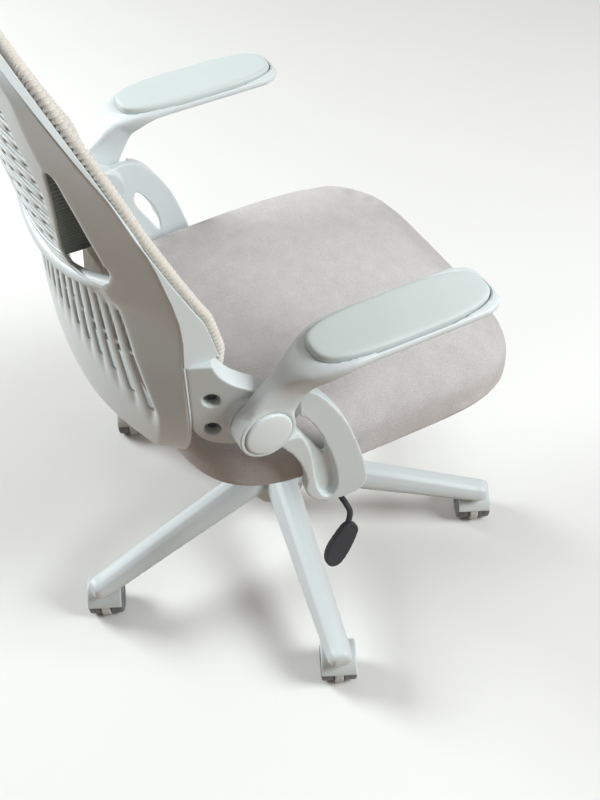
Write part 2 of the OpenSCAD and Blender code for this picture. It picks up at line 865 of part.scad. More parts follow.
module arm(side) {
    color("#c5cfd2")
        on_side(side)
            difference() {
                union() {
                    translate([0, hub_y, hub_z])
                        rod_x(arm_hub_r, arm_inner_x, arm_outer_x);
                    skin([for (s = arm_section_shares) arm_ring(s)]);
                }
                // Seat of the soft pad
                translate([0, 0, pad_z - pad_t])
                    linear_extrude(pad_t + over)
                        polygon(pad_outline(pad_groove));
                translate([0, hub_y, hub_z]) {
                    rod_x(pin_d / 2 + fit, arm_inner_x - over, arm_outer_x + over);
                    rod_x(cap_d / 2, arm_outer_x - cap_recess, arm_outer_x + over);
                }
            }
}

// Pad from its seat to its crown: share of the thickness, share of the inset
pad_shares = [[0, 0], [0.7, 0], [0.88, 0.05], [0.97, 0.16], [1, 0.45]];

module arm_pad(side) {
    mid_y = arm_rear_y - arm_l / 2;
    color("#c3cfcc")
        on_side(side)
            skin([
                for (s = pad_shares)
                    [
                        for (p = pad_outline(0))
                            [mix(p[0], pad_x, s[1]), mix(p[1], mid_y, s[1] / 3), pad_z - pad_t * (1 - s[0])]
                    ]
            ]);
}

module pivot_pin(side) {
    color("#8d9396")
        on_side(side)
            translate([0, hub_y, hub_z]) {
                rod_x(pin_d / 2, boss_inner_x, arm_outer_x - cap_recess);
                rod_x(pin_d / 2 + pin_head_h, boss_inner_x - pin_head_h, boss_inner_x);
            }
}

module hub_cap(side) {
    color("#d3dadb")
        on_side(side)
            translate([arm_outer_x - cap_recess, hub_y, hub_z])
                rotate([0, 90, 0])
                    rotate_extrude()
                        polygon([
                            [0, 0],
                            [cap_d / 2 - gap, 0],
                            [cap_d / 2 - gap, cap_t - cap_dome / 2],
                            [cap_d / 2 - cap_dome, cap_t],
                            [cap_d / 4, cap_t + cap_dome / 2],
                            [0, cap_t + cap_dome * 2 / 3]
                        ]);
}

// Back frame: side walls, lower fan shell, curved rim and upper lattice in one moulding

seam_depth = 41;
seam_front_y = seam_y - seam_depth;
edge_depth = 3;
fan_apex_z = 1190;
fan_top_drop = 10;
fan_top_z = rim_z - fan_top_drop;
fan_bottom_z = 530;
fan_half_angle = 17.6;
bowl_share = 0.76;
flute_fade = 35;
wall_columns = 3;
inner_columns = 6;
corner_h = 150;
foot_corner_h = 122;
ledge_h = 24;
step = 0.4;
foot_narrow_share = 0.62;
corner_share = 0.97;
rim_out_y = 292;
rim_bow_y = 39;
rim_bow_z = 48;
rim_half_w = 182;
rim_t = 15;
rim_lip = 6;
rim_steps = 20;
// Height of the rim as a share of the back's height
rim_share = 0.4375;
lower_levels = 8;
upper_levels = 11;

// Height share above the seam, lean share of the front edge and of the rear crease
front_shares = [[0, 0], [0.14, 0.08], [0.2, 0.155], [0.31, 0.28], [0.415, 0.393], [0.52, 0.5], [0.63, 0.6], [0.75, 0.715], [1, 0.97]];
crease_shares = [[0, 0.287], [0.1, 0.272], [0.17, 0.28], [0.26, 0.32], [0.4, 0.405], [0.53, 0.51], [0.66, 0.64], [0.76, 0.76], [1, 1.04]];
// Height share of the whole back, share of the bowl's depth in the middle plane
middle_shares = [
    [0, 0.8], [0.03, 0.87], [0.07, 0.94], [0.11, 0.98], [0.2, 1], [0.3, 0.98], [0.39, 0.94], [0.44, 0.93],
    [0.47, 1.14], [0.54, 1.28], [0.65, 1.44], [0.82, 1.68], [1, 1.87]
];
// Opening between the lattice and the side wall: share of its outer edge's distance, share of its height
window_shares = [
    [0.57, 0.14], [0.78, 0.15], [1.04, 0.24], [1, 0.48], [0.99, 0.78], [1, 1],
    [0.93, 0.99], [0.84, 0.8], [0.75, 0.63], [0.6, 0.35], [0.54, 0.22]
];
window_x = 168;
window_top_share = 0.638;
window_top_z = mix(rim_z, back_top, window_top_share);
slot_foot_z = 556;
slot_foot_rise = 44;
slot_split_z = 631;
slot_bridge = 6;
slot_facets = 6;
slot_top_z = 686;
slot_top_fall = 14;

function seam_share(z) = (z - seam_z) / (back_top - seam_z);
function crease_y(z) = z < seam_z ? seam_y + edge_depth : seam_front_y + lean_depth * lookup(seam_share(z), crease_shares);
function front_y(z) = z < seam_z ? seam_y : seam_front_y + lean_depth * lookup(seam_share(z), front_shares);
function height_share(z) = z < rim_z
    ? rim_share * (z - shell_bottom_z) / (rim_z - shell_bottom_z)
    : mix(rim_share, 1, (z - rim_z) / (back_top - rim_z));
function middle_y(z) = seam_y + bowl_depth * lookup(height_share(z), middle_shares);

// Half width of the frame at height z, for a piece that is w wide where it is widest
function corner_w(w, z) = let (t = corner_share * (z - back_top + corner_h) / corner_h) w * pow(1 - pow(max(0, t), 3), 1 / 3);
function foot_w_at(w, z) =
    let (t = (shell_bottom_z + foot_corner_h - z) / foot_corner_h)
    w * mix(foot_narrow_share, 1, pow(1 - pow(max(0, t), 2), 1 / 2));
function half_w(z) = min(corner_w(back_half_w, z), foot_w_at(back_half_w, z));

// Half width of the fan, where the rear turns into the side wall
function fan_reach(z) =
    min((fan_apex_z - min(max(z, fan_bottom_z), fan_top_z)) * tan(fan_half_angle), half_w(z) - 2 * side_t);

// Rear surface at x and z: a shallow bowl, then a straighter side wall
function rear_y(x, z) =
    let (
        w = half_w(z),
        share = min(1, abs(x) / w),
        bend = fan_reach(z) / w,
        fall = bowl_share * pow(bend, 2.2)
    )
    mix(middle_y(z), crease_y(z),
        share < bend ? fall * pow(share / bend, 2) : mix(fall, 1, (share - bend) / (1 - bend)));

// Columns spread from the fan's apex, then across the smooth side wall
function column_x(j, z) =
    let (
        reach = fan_reach(z),
        a = abs(j)
    )
    sign(j) * (a <= slot_count
        ? reach * tan(fan_half_angle * a / slot_count) / tan(fan_half_angle)
        : mix(reach, half_w(z), (a - slot_count) / wall_columns));

// Depth taken off along each slot's line, fading out above and below the fan
function flute(j, z) =
    abs(j) > slot_count || abs(j) % 2 == 1 ? 0 :
    flute_depth * ease((z - fan_bottom_z) / flute_fade) * ease((fan_top_z - z) / flute_fade);

function back_ring(z) =
    let (
        n = slot_count + wall_columns,
        w = half_w(z),
        f = front_y(z),
        inner = w - side_t,
        ledge = z > back_top - ledge_h
    )
    concat(
        [for (j = [n : -1 : -n]) let (x = column_x(j, z)) [x, rear_y(x, z) - flute(j, z), z]],
        [[-w, f, z], [-inner, f, z]],
        [
            for (j = [-inner_columns : inner_columns])
                let (x = (inner - step) * j / inner_columns)
                    [x, ledge ? f : max(rear_y(x, z) - shell_t - flute_depth, f), z]
        ],
        [[inner, f, z], [w, f, z]]
    );

back_levels = concat(
    [for (k = [0 : lower_levels]) mix(shell_bottom_z, seam_z - step, sin(90 * k / lower_levels))],
    [seam_z + step, mix(seam_z, rim_z, 1 / 2), rim_z],
    [for (k = [1 : upper_levels]) mix(rim_z, back_top - ledge_h - step, k / upper_levels)],
    [back_top - ledge_h + step, back_top - ledge_h / 2, back_top]
);

module back_frame() {
    color("#c9d3d6") {
        difference() {
            level_skin([for (z = back_levels) back_ring(z)]);
            for (s = SIDES)
                on_side(s)
                    window();
            fan_slots();
        }
        rim();
    }
}

// Curved rim that overhangs the lower shell
module rim() {
    section = [[0, -rim_h / 2], [0, rim_h / 2], [-rim_t, rim_h / 2 + rim_lip], [-rim_t, rim_lip / 2 - rim_h / 2]];
    skin([
        for (k = [-rim_steps / 2 : rim_steps / 2])
            let (u = k / (rim_steps / 2), y = rim_out_y - rim_bow_y * u * u, z = rim_z + rim_bow_z * u * u)
                [for (p = soften(section, 1)) [rim_half_w * u, y + p[0], z + p[1]]]
    ]);
}

// Extrudes an outline drawn in X and Z through the back, from front to rear
module through_back() {
    translate([0, 2 * seam_y, 0])
        rotate([90, 0, 0])
            linear_extrude(seam_y)
                children();
}

module window() {
    through_back()
        translate([0, rim_z])
            polygon(soften(scaled(window_shares, window_x, window_top_z - rim_z), 2));
}

// Slots between the flutes, in two rows
module fan_slots() {
    half = (slot_count - 1) / 2;
    for (i = [-half : half]) {
        a = fan_half_angle * 2 * i / slot_count;
        fall = 1 - pow(abs(i) / half, 2);
        foot = slot_foot_z + slot_foot_rise * fall;
        top = slot_top_z - slot_top_fall * fall;
        translate([0, 0, fan_apex_z])
            rotate([0, -a, 0]) {
                slot(foot, slot_split_z - slot_bridge / 2, a);
                slot(slot_split_z + slot_bridge / 2, top, a);
            }
    }
}

// Slot with round ends between two heights, on a line from the fan's apex that leans by angle a
module slot(z0, z1, a) {
    hull()
        for (z = [z0 + slot_w / 2, z1 - slot_w / 2])
            translate([0, 2 * seam_y, (z - fan_apex_z) / cos(a)])
                rotate([90, 0, 0])
                    cylinder(d = slot_w, h = seam_y - edge_depth, $fn = slot_facets);
}

// Mesh backrest

mesh_steps = 7;
mesh_sag = 58;
mesh_gap = 0.3;
mesh_fade_h = 150;
mesh_corner_h = 160;
mesh_foot_share = 0.7;
mesh_foot_lean = 14;
mesh_top_drop = 8;
mesh_low_levels = 6;
mesh_heights = concat(
    [for (k = [0 : mesh_low_levels]) mix(mesh_bottom_z, seam_z - step, sin(90 * k / mesh_low_levels))],
    [for (z = back_levels) if (z > seam_z && z < back_top - mesh_top_drop) z],
    [back_top - mesh_top_drop]
);

function mesh_half(z) =
    let (t = (mesh_bottom_z + mesh_corner_h - z) / mesh_corner_h)
    min(corner_w(mesh_half_w, z), mesh_half_w * mix(mesh_foot_share, 1, pow(1 - pow(max(0, t), 2.4), 1 / 2)));

// Plane of the rolled edge, just in front of the frame
function mesh_edge_y(z) =
    front_y(max(z, seam_z)) - mesh_gap - mesh_foot_lean * max(0, (seam_z - z) / (seam_z - mesh_bottom_z));

// Sag of the mesh at height z, fading out below the frame's top ledge
function sag_at(z) = mesh_sag * ease((back_top - ledge_h - z) / mesh_fade_h);

// Mesh from its middle outwards: share of the width, share of the roll's radius inwards, half thickness
mesh_columns = concat(
    [for (k = [0 : mesh_steps]) [k / mesh_steps, 3 / 2 * roll_d / 2, mesh_t / 2]],
    [for (a = [120, 60, 0]) [1, (1 - cos(a)) * roll_d / 2, sin(a) * roll_d / 2]]
);

function mesh_row(z, side, order) =
    let (w = mesh_half(z), y = mesh_edge_y(z) - sin(60) * roll_d / 2)
    [
        for (j = order)
            let (c = mesh_columns[abs(j)], u = c[0])
                [sign(j) * (w - c[1]) * (abs(j) > mesh_steps ? 1 : u), y + sag_at(z) * pow(1 - u * u, 2) + side * c[2], z]
    ];

function mesh_ring(z) = concat(
    mesh_row(z, -1, [1 - len(mesh_columns) : len(mesh_columns) - 1]),
    mesh_row(z, 1, [len(mesh_columns) - 2 : -1 : 2 - len(mesh_columns)])
);

module mesh_panel() {
    color("#e2ddd2")
        level_skin([for (z = mesh_heights) mesh_ring(z)]);
}

for (i = LEGS) {
    castor_hood(i);
    castor_stem(i);
    castor_axle(i);
    castor_wheels(i);
}
for (s = SIDES) {
    bracket(s);
    bracket_screws(s);
    foot_bolts(s);
    arm(s);
    arm_pad(s);
    pivot_pin(s);
    hub_cap(s);
}
base_star();
column_tube();
gas_spring();
mechanism_housing();
top_plate();
tilt_axle();
tension_knob();
knob_screw();
lever_rod();
lever_paddle();
seat_pan();
seat_cushion();
plate_bolts();
back_frame();
mesh_panel();
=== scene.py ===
"""Swivel office chair: the looks of a packed assembly, in metres, +Z up, front towards -Y."""

from __future__ import annotations

import json
import logging
import math
from dataclasses import dataclass, field
from enum import Enum
from typing import Callable, Iterable, Sequence

import bmesh
import bpy
from mathutils import Matrix, Vector

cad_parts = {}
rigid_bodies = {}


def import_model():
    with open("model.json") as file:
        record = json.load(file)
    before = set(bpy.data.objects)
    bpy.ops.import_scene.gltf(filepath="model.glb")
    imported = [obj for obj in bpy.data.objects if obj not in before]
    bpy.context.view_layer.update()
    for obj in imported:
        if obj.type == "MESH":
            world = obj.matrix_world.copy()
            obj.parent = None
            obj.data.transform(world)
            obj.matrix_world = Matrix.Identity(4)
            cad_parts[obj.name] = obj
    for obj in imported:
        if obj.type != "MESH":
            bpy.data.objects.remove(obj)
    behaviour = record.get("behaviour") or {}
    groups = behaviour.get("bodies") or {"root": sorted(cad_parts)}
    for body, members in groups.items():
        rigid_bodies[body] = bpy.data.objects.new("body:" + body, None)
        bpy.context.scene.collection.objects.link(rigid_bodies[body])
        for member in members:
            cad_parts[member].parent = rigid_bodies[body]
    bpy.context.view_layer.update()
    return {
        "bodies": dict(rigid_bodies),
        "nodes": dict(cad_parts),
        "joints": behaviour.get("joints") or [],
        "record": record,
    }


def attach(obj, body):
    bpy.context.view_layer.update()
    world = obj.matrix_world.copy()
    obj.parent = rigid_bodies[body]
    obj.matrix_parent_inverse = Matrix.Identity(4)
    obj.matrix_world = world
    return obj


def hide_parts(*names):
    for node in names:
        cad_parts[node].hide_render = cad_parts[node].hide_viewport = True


LOG = logging.getLogger("chair")
MM = 0.001
Pair = tuple[float, float]
Triple = tuple[float, float, float]
Outline = list[Pair]
Table = Sequence[Pair]
Place = Callable[[int, int], Sequence[float]]
Colour = tuple[float, float, float, float]
Shape = bmesh.types.BMesh
Socket = bpy.types.NodeSocket


# Numbers and outlines


def mix(a: float, b: float, t: float) -> float:
    """Value part of the way from a to b."""
    return a + (b - a) * t


def ease(t: float) -> float:
    """Value that eases from 0 to 1 while t goes from 0 to 1."""
    c = min(1.0, max(0.0, t))
    return c * c * (3 - 2 * c)


def lookup(t: float, table: Table) -> float:
    """Value of a table of (place, value) rows at t, straight between its rows.

    Args:
        t: place in the table.
        table: rows with rising places.

    Returns:
        The value, held at the table's ends.
    """
    if t <= table[0][0]:
        return table[0][1]
    for (t0, v0), (t1, v1) in zip(table, table[1:]):
        if t <= t1:
            return mix(v0, v1, (t - t0) / (t1 - t0))
    return table[-1][1]


def metres(point: Sequence[float]) -> Vector:
    """Point in millimetres as a vector in metres."""
    return Vector(point) * MM


def soften(points: Sequence[Sequence[float]], rounds: int) -> list[tuple[float, ...]]:
    """Closed outline with its corners cut.

    Args:
        points: corners of the outline.
        rounds: times that each corner is cut.

    Returns:
        The rounder outline.
    """
    for _ in range(rounds):
        points = [
            tuple(mix(a, b, t) for a, b in zip(p, q))
            for p, q in zip(points, [*points[1:], points[0]])
            for t in (0.25, 0.75)
        ]
    return [tuple(p) for p in points]


def scaled(shares: Iterable[Pair], width: float, height: float) -> Outline:
    """Outline given as shares of a width and a height."""
    return [(a * width, b * height) for a, b in shares]


def rounded(a: float, b: float, corner: float, angle: float) -> Pair:
    """Outline point of a rounded rectangle.

    Args:
        a: half width.
        b: half length.
        corner: 2 gives an ellipse, more gives squarer corners.
        angle: turn round the outline, in radians.

    Returns:
        The point.
    """
    c, s = math.cos(angle), math.sin(angle)
    return (
        a * math.copysign(abs(c) ** (2 / corner), c),
        b * math.copysign(abs(s) ** (2 / corner), s),
    )


def spline(points: Sequence[Sequence[float]], steps: int) -> list[Vector]:
    """Smooth line through points.

    Args:
        points: points that the line passes through.
        steps: parts that each stretch is cut into.

    Returns:
        The line's points.
    """
    p = [Vector(q) for q in points]
    p = [p[0] * 2 - p[1], *p, p[-1] * 2 - p[-2]]
    line = []
    for a, b, c, d in zip(p, p[1:], p[2:], p[3:]):
        for k in range(steps):
            t = k / steps
            curve = (2 * a - 5 * b + 4 * c - d) * t * t + (3 * b - a - 3 * c + d) * t**3
            line.append(0.5 * (2 * b + (c - a) * t + curve))
    line.append(p[-2])
    return line


def inside(point: Pair, outline: Outline) -> bool:
    """Whether a flat point lies inside a closed outline."""
    x, z = point
    found = False
    for (x0, z0), (x1, z1) in zip(outline, outline[1:] + outline[:1]):
        if (z0 > z) != (z1 > z) and x < x0 + (x1 - x0) * (z - z0) / (z1 - z0):
            found = not found
    return found


def nearest(point: Pair, outline: Outline) -> Pair:
    """Closest point of a closed outline to a flat point."""
    p = Vector(point)
    best, found = 1e9, point
    for a, b in zip(outline, outline[1:] + outline[:1]):
        u, v = Vector(a), Vector(b) - Vector(a)
        t = min(1.0, max(0.0, (p - u).dot(v) / max(1e-9, v.length_squared)))
        q = u + v * t
        if (p - q).length < best:
            best, found = (p - q).length, (q.x, q.y)
    return found


# Mesh making


def surface(columns: int, rows: int, place: Place) -> Shape:
    """Sheet of faces whose corners are put in place one by one.

    Args:
        columns: faces across.
        rows: faces along.
        place: gives the millimetres of the corner in column i and row j.

    Returns:
        The open sheet.
    """
    bm = bmesh.new()
    bmesh.ops.create_grid(bm, x_segments=columns, y_segments=rows, size=0.5)
    for v in bm.verts:
        v.co = metres(place(round((v.co.x + 0.5) * columns), round((v.co.y + 0.5) * rows)))
    return bm


def closed(bm: Shape) -> Shape:
    """The same mesh with its doubles merged, its holes filled and its faces turned outwards."""
    bmesh.ops.remove_doubles(bm, verts=bm.verts[:], dist=1e-6)
    rims = [e for e in bm.edges if e.is_boundary]
    if rims:
        bmesh.ops.holes_fill(bm, edges=rims, sides=0)
    bmesh.ops.recalc_face_normals(bm, faces=bm.faces[:])
    return bm


def tube(around: int, along: int, place: Place) -> Shape:
    """Closed skin through rings.

    Args:
        around: corners of a ring.
        along: stretches between rings.
        place: gives the millimetres of corner i in ring j.

    Returns:
        The closed skin.
    """
    return closed(surface(around, along, lambda i, j: place(i % around, j)))


def loop_tube(around: int, along: int, place: Place) -> Shape:
    """Closed skin through rings that come back to the first one."""
    return closed(surface(around, along, lambda i, j: place(i % around, j % along)))


def prism(points: Iterable[Triple], way: Triple) -> Shape:
    """Solid between a flat face and the same face carried along a way.

    Args:
        points: corners of the face in millimetres.
        way: what carries the face to the other end, in millimetres.

    Returns:
        The closed solid.
    """
    bm = bmesh.new()
    face = bm.faces.new([bm.verts.new(metres(p)) for p in points])
    grown = bmesh.ops.extrude_face_region(bm, geom=[face])["geom"]
    verts = [g for g in grown if isinstance(g, bmesh.types.BMVert)]
    bmesh.ops.translate(bm, verts=verts, vec=metres(way))
    bmesh.ops.recalc_face_normals(bm, faces=bm.faces[:])
    return bm


def block(low: Triple, high: Triple) -> Shape:
    """Solid block between two corners, in millimetres."""
    bm = bmesh.new()
    bmesh.ops.create_cube(bm, size=1)
    size = [h - l for l, h in zip(low, high)]
    bmesh.ops.scale(bm, verts=bm.verts[:], vec=metres(size))
    bmesh.ops.translate(bm, verts=bm.verts[:], vec=metres([(l + h) / 2 for l, h in zip(low, high)]))
    return bm


def turned(profile: Sequence[Pair], steps: int) -> Shape:
    """Closed shape turned about the Z axis.

    Args:
        profile: (radius, height) points in millimetres, from the axis or a bore and back.
        steps: faces round the axis.

    Returns:
        The closed shape.
    """
    bm = bmesh.new()
    verts = [bm.verts.new(metres((r, 0, z))) for r, z in profile]
    ends = zip(verts, verts[1:] + verts[:1]) if profile[0][0] > 0 else zip(verts, verts[1:])
    edges = [bm.edges.new(pair) for pair in ends]
    bmesh.ops.spin(
        bm, geom=verts + edges, cent=(0, 0, 0), axis=(0, 0, 1), dvec=(0, 0, 0),
        angle=math.tau, steps=steps, use_merge=True, use_duplicate=False,
    )
    return closed(bm)


def moved(bm: Shape, matrix: Matrix) -> Shape:
    """The same mesh, carried by a matrix."""
    bmesh.ops.transform(bm, matrix=matrix, verts=bm.verts[:])
    if matrix.determinant() < 0:
        bmesh.ops.reverse_faces(bm, faces=bm.faces[:])
    return bm


def at(x: float, y: float, z: float) -> Matrix:
    """Matrix that carries a shape to a point in millimetres."""
    return Matrix.Translation(metres((x, y, z)))


def turn(degrees: float, axis: str) -> Matrix:
    """Matrix that turns a shape about an axis."""
    return Matrix.Rotation(math.radians(degrees), 4, axis)


ALONG_X = turn(90, "Y")
ALONG_Y = turn(-90, "X")


def rod(radius: float, z0: float, z1: float, steps: int) -> Shape:
    """Cylinder on the Z axis, in millimetres."""
    return turned([(0, z0), (radius, z0), (radius, z1), (0, z1)], steps)


def rod_x(radius: float, x0: float, x1: float, y: float, z: float, steps: int = 64) -> Shape:
    """Cylinder along X, in millimetres."""
    return moved(rod(radius, 0, x1 - x0, steps), at(x0, y, z) @ ALONG_X)


def rod_z(radius: float, z0: float, z1: float, x: float, y: float, steps: int = 48) -> Shape:
    """Cylinder along Z, in millimetres."""
    return moved(rod(radius, z0, z1, steps), at(x, y, 0))


def smoothed(bm: Shape, rounds: int) -> Shape:
    """The same mesh, each corner drawn halfway to its neighbours in every round."""
    for _ in range(rounds):
        bmesh.ops.smooth_vert(
            bm, verts=bm.verts[:], factor=0.5, use_axis_x=True, use_axis_y=True, use_axis_z=True
        )
    return bm


def trimmed(bm: Shape, point: Triple, way: Triple) -> Shape:
    """Closed part of a shape that lies ahead of a plane.

    Args:
        bm: the shape, which is changed.
        point: point of the plane, in millimetres.
        way: direction in which the kept part lies.

    Returns:
        The same mesh.
    """
    geom = bm.verts[:] + bm.edges[:] + bm.faces[:]
    bmesh.ops.bisect_plane(
        bm, geom=geom, dist=1e-6, plane_co=metres(point), plane_no=way, clear_inner=True, clear_outer=False
    )
    return closed(bm)


def as_mesh(bm: Shape, name: str) -> bpy.types.Mesh:
    """Mesh data of a bmesh, which is freed."""
    mesh = bpy.data.meshes.new(name)
    bm.to_mesh(mesh)
    bm.free()
    return mesh


def placed(mesh: bpy.types.Mesh, matrix: Matrix) -> Shape:
    """Fresh copy of mesh data, carried by a matrix."""
    bm = bmesh.new()
    bm.from_mesh(mesh)
    return moved(bm, matrix)


def bare_object(mesh: bpy.types.Mesh, name: str) -> bpy.types.Object:
    """Object at the origin that shows a mesh."""
    obj = bpy.data.objects.new(name, mesh)
    bpy.context.scene.collection.objects.link(obj)
    return obj


def finished_mesh(obj: bpy.types.Object) -> bpy.types.Mesh:
    """Mesh of an object with its modifiers applied; the object is removed."""
    bpy.context.view_layer.update()
    graph = bpy.context.evaluated_depsgraph_get()
    mesh = bpy.data.meshes.new_from_object(obj.evaluated_get(graph))
    bpy.data.objects.remove(obj)
    return mesh


@dataclass
class Moulding:
    """Closed shells that are fused to one skin with soft edges, as a moulded part is."""

    voxel: float
    rounds: int
    shells: list[Shape] = field(default_factory=list)
    cuts: list[Shape] = field(default_factory=list)

    def add(self, *shells: Shape) -> Moulding:
        """Adds closed shells."""
        self.shells.extend(shells)
        return self

    def cut(self, *cuts: Shape) -> Moulding:
        """Adds closed shapes that are taken out of every shell."""
        self.cuts.extend(cuts)
        return self

    def skin(self) -> Shape:
        """Cuts, fuses and smooths the shells.

        Returns:
            The closed skin.
        """
        cutters = [bare_object(as_mesh(c, "cut"), "cut") for c in self.cuts]
        joined = bmesh.new()
        for shell in self.shells:
            obj = bare_object(as_mesh(shell, "shell"), "shell")
            for cutter in cutters:
                step = obj.modifiers.new("cut", "BOOLEAN")
                step.operation, step.solver, step.object = "DIFFERENCE", "EXACT", cutter
            joined.from_mesh(finished_mesh(obj))
        for cutter in cutters:
            bpy.data.objects.remove(cutter)
        obj = bare_object(as_mesh(joined, "joined"), "joined")
        fuse = obj.modifiers.new("fuse", "REMESH")
        fuse.mode, fuse.voxel_size, fuse.adaptivity = "VOXEL", self.voxel * MM, 0
        bm = bmesh.new()
        bm.from_mesh(finished_mesh(obj))
        return smoothed(bm, self.rounds)


# Finishes


def tone(red: int, green: int, blue: int) -> Colour:
    """Linear colour of screen values from 0 to 255."""

    def linear(value: int) -> float:
        """Linear share of one screen value."""
        c = value / 255
        return c / 12.92 if c <= 0.04045 else ((c + 0.055) / 1.055) ** 2.4

    return (linear(red), linear(green), linear(blue), 1.0)


class Nodes:
    """Adds and feeds the nodes of one tree."""

    def __init__(self, tree: bpy.types.NodeTree) -> None:
        """Takes an emptied tree."""
        self.tree = tree
        self.tree.nodes.clear()

    def feed(self, socket: Socket, value: object) -> None:
        """Gives an input an output, or else a plain value."""
        if isinstance(value, Socket):
            self.tree.links.new(value, socket)
        else:
            socket.default_value = value

    def fill(self, node: bpy.types.Node, values: dict[str, object]) -> None:
        """Feeds inputs by name, with underscores for blanks."""
        for key, value in values.items():
            self.feed(node.inputs[key.replace("_", " ")], value)

    def add(self, kind: str, **values: object) -> bpy.types.Node:
        """Adds a node.

        Args:
            kind: node type.
            values: settings, or what to feed the inputs with where no setting has that name.

        Returns:
            The node.
        """
        node = self.tree.nodes.new(kind)
        for key in [k for k in values if hasattr(node, k)]:
            setattr(node, key, values.pop(key))
        self.fill(node, values)
        return node

    def maths(self, kind: str, a: object, b: object) -> Socket:
        """One sum, product or other step of two values or outputs."""
        node = self.add("ShaderNodeMath", operation=kind)
        for socket, value in zip(node.inputs, (a, b)):
            self.feed(socket, value)
        return node.outputs[0]

    def either(self, share: Socket, a: Socket, b: Socket) -> Socket:
        """Shader between two, by a share."""
        node = self.add("ShaderNodeMixShader")
        for socket, value in zip(node.inputs, (share, a, b)):
            self.feed(socket, value)
        return node.outputs[0]

    def seen(self) -> tuple[Socket, Socket]:
        """Whether the camera or a reflection looks, and whether a ray comes through glass."""
        path = self.add("ShaderNodeLightPath").outputs
        mirrored = self.maths("MAXIMUM", path["Is Camera Ray"], path["Is Glossy Ray"])
        return mirrored, path["Is Transmission Ray"]


class Recipe(Nodes):
    """Nodes of one material, with one surface shader."""

    def __init__(self, name: str) -> None:
        """Starts the material."""
        self.material = bpy.data.materials.new(name)
        self.material.use_nodes = True
        super().__init__(self.material.node_tree)
        self.shader = self.add("ShaderNodeBsdfPrincipled")
        self.out = self.add("ShaderNodeOutputMaterial", Surface=self.shader.outputs["BSDF"])
        self.place = self.add("ShaderNodeTexCoord").outputs["Object"]

    def settle(self, **values: object) -> None:
        """Feeds the surface shader's own inputs."""
        self.fill(self.shader, values)

    def noise(self, scale: float, detail: float = 3.0) -> Socket:
        """Noise on the object's own coordinates."""
        return self.add("ShaderNodeTexNoise", Scale=scale, Detail=detail, Vector=self.place).outputs["Fac"]

    def cells(self, scale: float) -> Socket:
        """Distance to the nearest of many small uneven points."""
        node = self.add("ShaderNodeTexVoronoi", Scale=scale, Randomness=0.75, Vector=self.place)
        return node.outputs["Distance"]

    def bands(self, axis: str, scale: float, distortion: float = 0.0) -> Socket:
        """Even bands across an axis of the object's own coordinates."""
        node = self.add(
            "ShaderNodeTexWave", wave_type="BANDS", bands_direction=axis, Scale=scale,
            Distortion=distortion, Detail=1.0, Detail_Scale=1.5, Vector=self.place,
        )
        return node.outputs["Fac"]

    def between(self, share: object, low: object, high: object, blend: str = "MIX") -> Socket:
        """Colour between two, by a share."""
        node = self.add("ShaderNodeMix", data_type="RGBA", blend_type=blend)
        for k, value in ((0, share), (6, low), (7, high)):
            self.feed(node.inputs[k], value)
        return node.outputs[2]

    def spread(self, share: Socket, low: float, high: float) -> Socket:
        """Number between two, by a share."""
        return self.add("ShaderNodeMapRange", Value=share, To_Min=low, To_Max=high).outputs[0]

    def relief(self, height: Socket, depth: float, strength: float) -> None:
        """Bumps the surface by a height, depth in metres."""
        node = self.add("ShaderNodeBump", Distance=depth, Strength=strength, Height=height)
        self.settle(Normal=node.outputs["Normal"])


def dimmed(colour: Colour, share: float) -> Colour:
    """The same colour, darker or lighter by a share."""
    return (colour[0] * share, colour[1] * share, colour[2] * share, 1.0)


@dataclass(frozen=True)
class Finish:
    """Procedural finish: its name, the record's material slot that it shows, and its colour."""

    name: str
    slot: str
    colour: Colour

    def material(self) -> bpy.types.Material:
        """The finish's material, which is made once."""
        if self.name not in bpy.data.materials:
            self.paint(Recipe(self.name))
        return bpy.data.materials[self.name]

    def paint(self, r: Recipe) -> None:
        """Lays the finish's nodes out."""
        raise NotImplementedError

    def shades(self, spread: float) -> tuple[Colour, Colour]:
        """The colour a little darker, and as much lighter."""
        return dimmed(self.colour, 1 - spread), dimmed(self.colour, 1 + spread)


@dataclass(frozen=True)
class Plastic(Finish):
    """Moulded plastic with a fine spark-eroded grain."""

    roughness: float = 0.42
    grain: float = 1400.0
    depth: float = 0.00006
    mottle: float = 0.05

    def paint(self, r: Recipe) -> None:
        """Faint clouds in the colour, and a grain in gloss and relief."""
        r.settle(Base_Color=r.between(r.noise(9.0, 2.0), *self.shades(self.mottle)))
        grain = r.noise(self.grain, 2.0)
        r.settle(Roughness=r.spread(grain, self.roughness - 0.07, self.roughness + 0.07))
        r.relief(grain, self.depth, 0.6)


@dataclass(frozen=True)
class Metal(Finish):
    """Turned or coated steel with faint drawing marks."""

    roughness: float = 0.35
    metallic: float = 1.0

    def paint(self, r: Recipe) -> None:
        """Fine marks in colour, gloss and relief."""
        marks = r.noise(700.0, 4.0)
        r.settle(
            Metallic=self.metallic,
            Base_Color=r.between(marks, dimmed(self.colour, 0.85), self.colour),
            Roughness=r.spread(marks, self.roughness - 0.1, self.roughness + 0.1),
        )
        r.relief(marks, 0.00003, 0.5)


